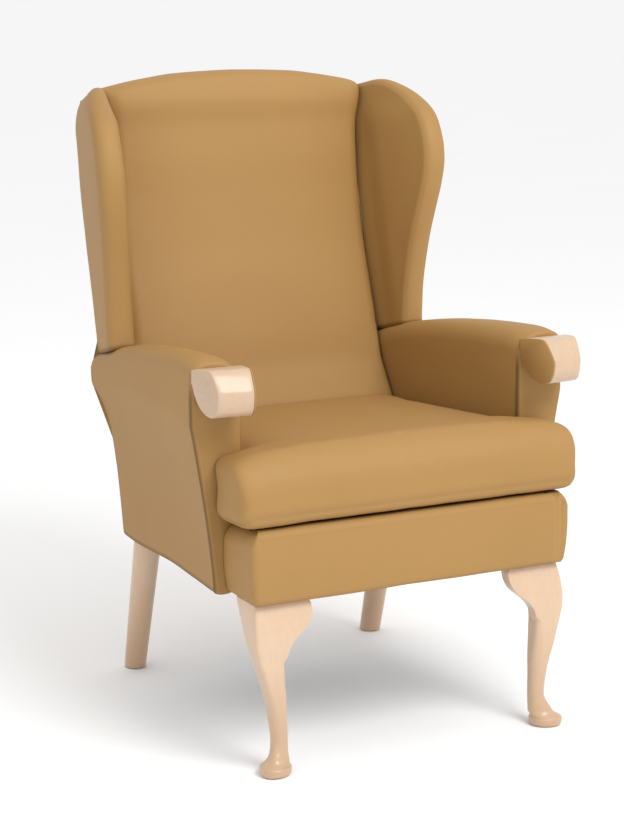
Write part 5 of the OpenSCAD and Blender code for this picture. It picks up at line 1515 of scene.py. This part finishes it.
class CHAIR_OT_legs(bpy.types.Operator):
    """Make the curved front legs with their ears and the splayed rear legs"""
    bl_idname = "chair.legs"
    bl_label = "Legs"

    def execute(self, context):
        for word, side in SIDES:
            self.front(word, side)
            self.rear(word, side)
        return {"FINISHED"}

    def front(self, word, side):
        """Curved leg with the ear that is glued beside its head, flush in front."""
        head_w, head_d, ankle, pad = 0.045, 0.059, 0.028, 0.054
        top_y, foot_x, foot_y = 0.015, SIDE_X - 0.020, 0.002
        ear_w, ear_h, ear_t, ear_r = 0.053, 0.076, 0.023, 0.0020
        outer_x = plane_x(top_y) + 0.001
        ear_x = outer_x - 0.99 * head_w
        rows = []
        for table, cx, cy, w, d in (
                (LEG_HEAD, outer_x - head_w / 2, top_y + head_d / 2, head_w, head_d),
                (LEG_ANKLE, foot_x - 0.011, foot_y + 0.010, ankle, ankle),
                (LEG_PAD, foot_x, foot_y, pad, pad)):
            for h, dx, dy, wx, wy, q, r in table:
                rows.append((h, cx + dx * w, cy + dy * d, wx * w / 2, wy * d / 2, q * w, r * w))
        rows = np.array(sorted(rows))
        rings = []
        for h in np.unique(np.concatenate([np.linspace(0, 0.06, 20), np.linspace(0.06, 1, 100)])):
            cx, cy, hx, hy, q, r = (float(curve(h, rows[:, (0, k)])) for k in range(1, 7))
            z = lerp(LEG_FOOT, LEG_TOP, h)
            q, r = min(q, hx, hy), min(r, hx, hy)
            down = (UNDER - z) / ear_h
            ear = cx - hx - ear_x + ear_w * float(curve(down, EAR_REACH))
            ear = max(0.0, ear) * float(ease((1.3 - down) / 0.2))
            tip = lerp(r, ear_r, float(ease(ear / 0.004)))
            heel = min(ear_r, ear / 2)
            root = max(tip - hy, min(ear_t - hy, hy - r))
            toe = float(curve(h, LEG_TOE))
            ring = []

            def add(x, y, a):
                """One more point, pushed towards the outer front corner at the toe."""
                push = toe * max(0.0, math.cos(a + math.pi / 4)) ** 2
                ring.append((cx + x + push * 0.72, cy + y - push * 0.70, z))

            for ox, oy, rad, a0 in ((hx - q, -hy + q, q, -90), (hx - r, hy - r, r, 0),
                                    (-hx + r, hy - r, r, 90)):
                for a in np.radians(np.linspace(a0, a0 + 90, 10)):
                    add(ox + rad * math.cos(a), oy + rad * math.sin(a), a)
            add(-hx, root, math.pi)
            for a in np.linspace(0, math.pi / 2, 5):
                add(-hx - ear + heel * (1 - math.sin(a)), root - heel * (1 - math.cos(a)), math.pi)
            for a in np.radians(np.linspace(180, 270, 10)):
                add(-hx - ear + tip + tip * math.cos(a), tip - hy + tip * math.sin(a), a)
            for u in (0.12, 0.3, 0.5, 0.7, 0.88):
                add(lerp(tip - hx - ear, hx - q, u), -hy, -math.pi / 2)
            rings.append(ring)
        leg = weld(loft(f"front_leg_{word}_wood", rings, side))
        dress(leg, finish("beech"), "chair", (f"front_leg_{word}", f"front_leg_ear_{word}"))

    def rear(self, word, side):
        """Round leg that splays to the back and tapers to its foot."""
        splay = math.radians(15.6)
        top_w, foot_w, foot_edge = 0.0492, 0.0388, 0.0014
        y0 = float(rear_y(UNDER, POST_FRONT + FIT)) + 0.004
        x0 = plane_x(y0) - 0.009
        length = UNDER / math.cos(splay)
        rings = []
        for h in np.concatenate([[0, 0.0008, 0.002], np.linspace(0.006, 1, 40)]):
            z = lerp(LEG_FOOT, LEG_TOP, h)
            down = (UNDER - z) / math.cos(splay)
            r = lerp(top_w, foot_w, down / length) / 2
            if h < 0.004:
                r -= foot_edge * (1 - h / 0.004) ** 2
            cy = y0 + (UNDER - z) * math.tan(splay)
            rings.append([(x0 + r * math.cos(a), cy + r / math.cos(splay) * math.sin(a), z)
                          for a in np.linspace(0, 2 * math.pi, 56, endpoint=False)])
        leg = loft(f"rear_leg_{word}_wood", rings, side)
        dress(leg, finish("beech"), "chair", (f"rear_leg_{word}",))


# ---------------------------------------------------------------------------------------
# The frame inside


FRAME_FINISH = {
    "timber": ("seat_front_rail", "seat_back_rail", "back_top_rail", "back_lower_rail"),
    "timber long": ("seat_side_rail_left", "seat_side_rail_right", "corner_blocks",
                    "arm_top_rail_left", "arm_top_rail_right", "arm_base_rail_left",
                    "arm_base_rail_right"),
    "timber up": ("back_post_left", "back_post_right", "arm_front_board_left",
                  "arm_front_board_right", "wing_batten_left", "wing_batten_right"),
    "plywood": ("wing_board_left", "wing_board_right"),
    "steel": ("seat_springs", "spring_clips", "leg_bolts", "grip_studs"),
    "webbing": ("back_webbing",),
    "glide": ("floor_glides",),
}
SMALL_FIXINGS = ("floor_glides", "leg_bolts", "grip_studs", "spring_clips")


class CHAIR_OT_frame_finish(bpy.types.Operator):
    """Give the wood, springs, webbing, bolts and glides of the frame their finishes"""
    bl_idname = "chair.frame_finish"
    bl_label = "Frame finishes"

    def execute(self, context):
        for kind, names in FRAME_FINISH.items():
            for name in names:
                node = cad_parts[name]
                node.data.materials.clear()
                node.data.materials.append(finish(kind))
                if kind.startswith("timber") or kind == "plywood":
                    soften_edges(node, 0.0012, 2)
                elif name in SMALL_FIXINGS:
                    soften_edges(node, 0.0004, 2)
        return {"FINISHED"}


# ---------------------------------------------------------------------------------------
# The stage


FLOOR_HALF = 120.0             # so wide that its edge lies at the horizon
LIT_POINT = (0, 0, 0.6)
KEY_PLACE, KEY_SIZE = (0.6, -2.7, 3.2), 2.0
SIDE_PLACE, SIDE_SIZE = (-3.0, -2.4, 2.4), 1.8
CAMERA_AZIMUTH, CAMERA_LIFT = math.radians(27.06), math.radians(11.79)
CAMERA_ROLL, CAMERA_SHIFT_Y, SENSOR_W = math.radians(-0.14), -0.00626, 36
CAMERA_TARGET = (-0.03363, 0.300 - MIDDLE, 0.51174)


class CHAIR_OT_stage(bpy.types.Operator):
    """Set up the pale floor, the soft lights and the camera"""
    bl_idname = "chair.stage"
    bl_label = "Studio"

    def execute(self, context):
        scene = context.scene
        studio = scene.chair_studio
        far = FLOOR_HALF
        mesh = bpy.data.meshes.new("studio_floor")
        mesh.from_pydata([(-far, -far, 0), (far, -far, 0), (far, far, 0), (-far, far, 0)], [],
                         [(0, 1, 2, 3)])
        floor = bpy.data.objects.new("studio_floor", mesh)
        scene.collection.objects.link(floor)
        mesh.materials.append(finish("floor"))

        scene.world = bpy.data.worlds.new("Studio air")
        scene.world.use_nodes = True
        air = scene.world.node_tree.nodes["Background"]
        air.inputs["Color"].default_value = (1, 1, 1, 1)
        air.inputs["Strength"].default_value = studio.room_light
        self.lamp("key", KEY_PLACE, studio.key_power, KEY_SIZE)
        self.lamp("side", SIDE_PLACE, studio.side_power, SIDE_SIZE)
        self.camera(scene, studio)
        return {"FINISHED"}

    def camera(self, scene, studio):
        """Camera at the photograph's angle, at the chair's front left."""
        target = Vector(CAMERA_TARGET)
        away = Vector((-math.sin(CAMERA_AZIMUTH) * math.cos(CAMERA_LIFT),
                       -math.cos(CAMERA_AZIMUTH) * math.cos(CAMERA_LIFT), math.sin(CAMERA_LIFT)))
        data = bpy.data.cameras.new("photo_camera")
        data.lens, data.sensor_width, data.shift_y = studio.lens, SENSOR_W, CAMERA_SHIFT_Y
        camera = bpy.data.objects.new("photo_camera", data)
        scene.collection.objects.link(camera)
        camera.location = target + away * studio.distance
        turn = (target - camera.location).to_track_quat("-Z", "Y").to_matrix()
        camera.rotation_euler = (turn @ Matrix.Rotation(CAMERA_ROLL, 3, "Z")).to_euler()
        scene.camera = camera
        scene.view_settings.view_transform = "Standard"

    def lamp(self, name, place, power, size):
        """Round soft light that faces the chair."""
        data = bpy.data.lights.new(name, "AREA")
        data.energy, data.size, data.shape = power, size, "DISK"
        lamp = bpy.data.objects.new(name, data)
        bpy.context.scene.collection.objects.link(lamp)
        lamp.location = place
        towards = Vector(LIT_POINT) - Vector(place)
        lamp.rotation_euler = towards.to_track_quat("-Z", "Y").to_euler()


class CHAIR_PT_parts(bpy.types.Panel):
    """Lists the pieces of the chair"""
    bl_label = "Fireside wing chair"
    bl_idname = "CHAIR_PT_parts"
    bl_space_type = "VIEW_3D"
    bl_region_type = "UI"
    bl_category = "Chair"

    def draw(self, context):
        column = self.layout.column()
        for operator in STEPS:
            column.operator(operator)
        for group in (context.scene.chair_covers, context.scene.chair_colours,
                      context.scene.chair_studio):
            box = self.layout.box()
            for name in group.bl_rna.properties.keys():
                if name not in ("rna_type", "name"):
                    box.prop(group, name)


CLASSES = (ChairCoverSizes, ChairColours, ChairStudio, CHAIR_OT_frame_finish, CHAIR_OT_cushion,
           CHAIR_OT_back, CHAIR_OT_wings, CHAIR_OT_arms, CHAIR_OT_seat, CHAIR_OT_grips,
           CHAIR_OT_legs, CHAIR_OT_stage, CHAIR_PT_parts)
STEPS = ("chair.frame_finish", "chair.cushion", "chair.back", "chair.wings", "chair.arms",
         "chair.seat", "chair.grips", "chair.legs", "chair.stage")


def register():
    for item in CLASSES:
        bpy.utils.register_class(item)
    bpy.types.Scene.chair_covers = PointerProperty(type=ChairCoverSizes)
    bpy.types.Scene.chair_colours = PointerProperty(type=ChairColours)
    bpy.types.Scene.chair_studio = PointerProperty(type=ChairStudio)


def unregister():
    del bpy.types.Scene.chair_covers
    del bpy.types.Scene.chair_colours
    del bpy.types.Scene.chair_studio
    for item in reversed(CLASSES):
        bpy.utils.unregister_class(item)


def main():
    register()
    for step in STEPS:
        group, name = step.split(".")
        if getattr(getattr(bpy.ops, group), name)() != {"FINISHED"}:
            raise RuntimeError(f"{step} did not finish")


if __name__ == "__main__":
    main()
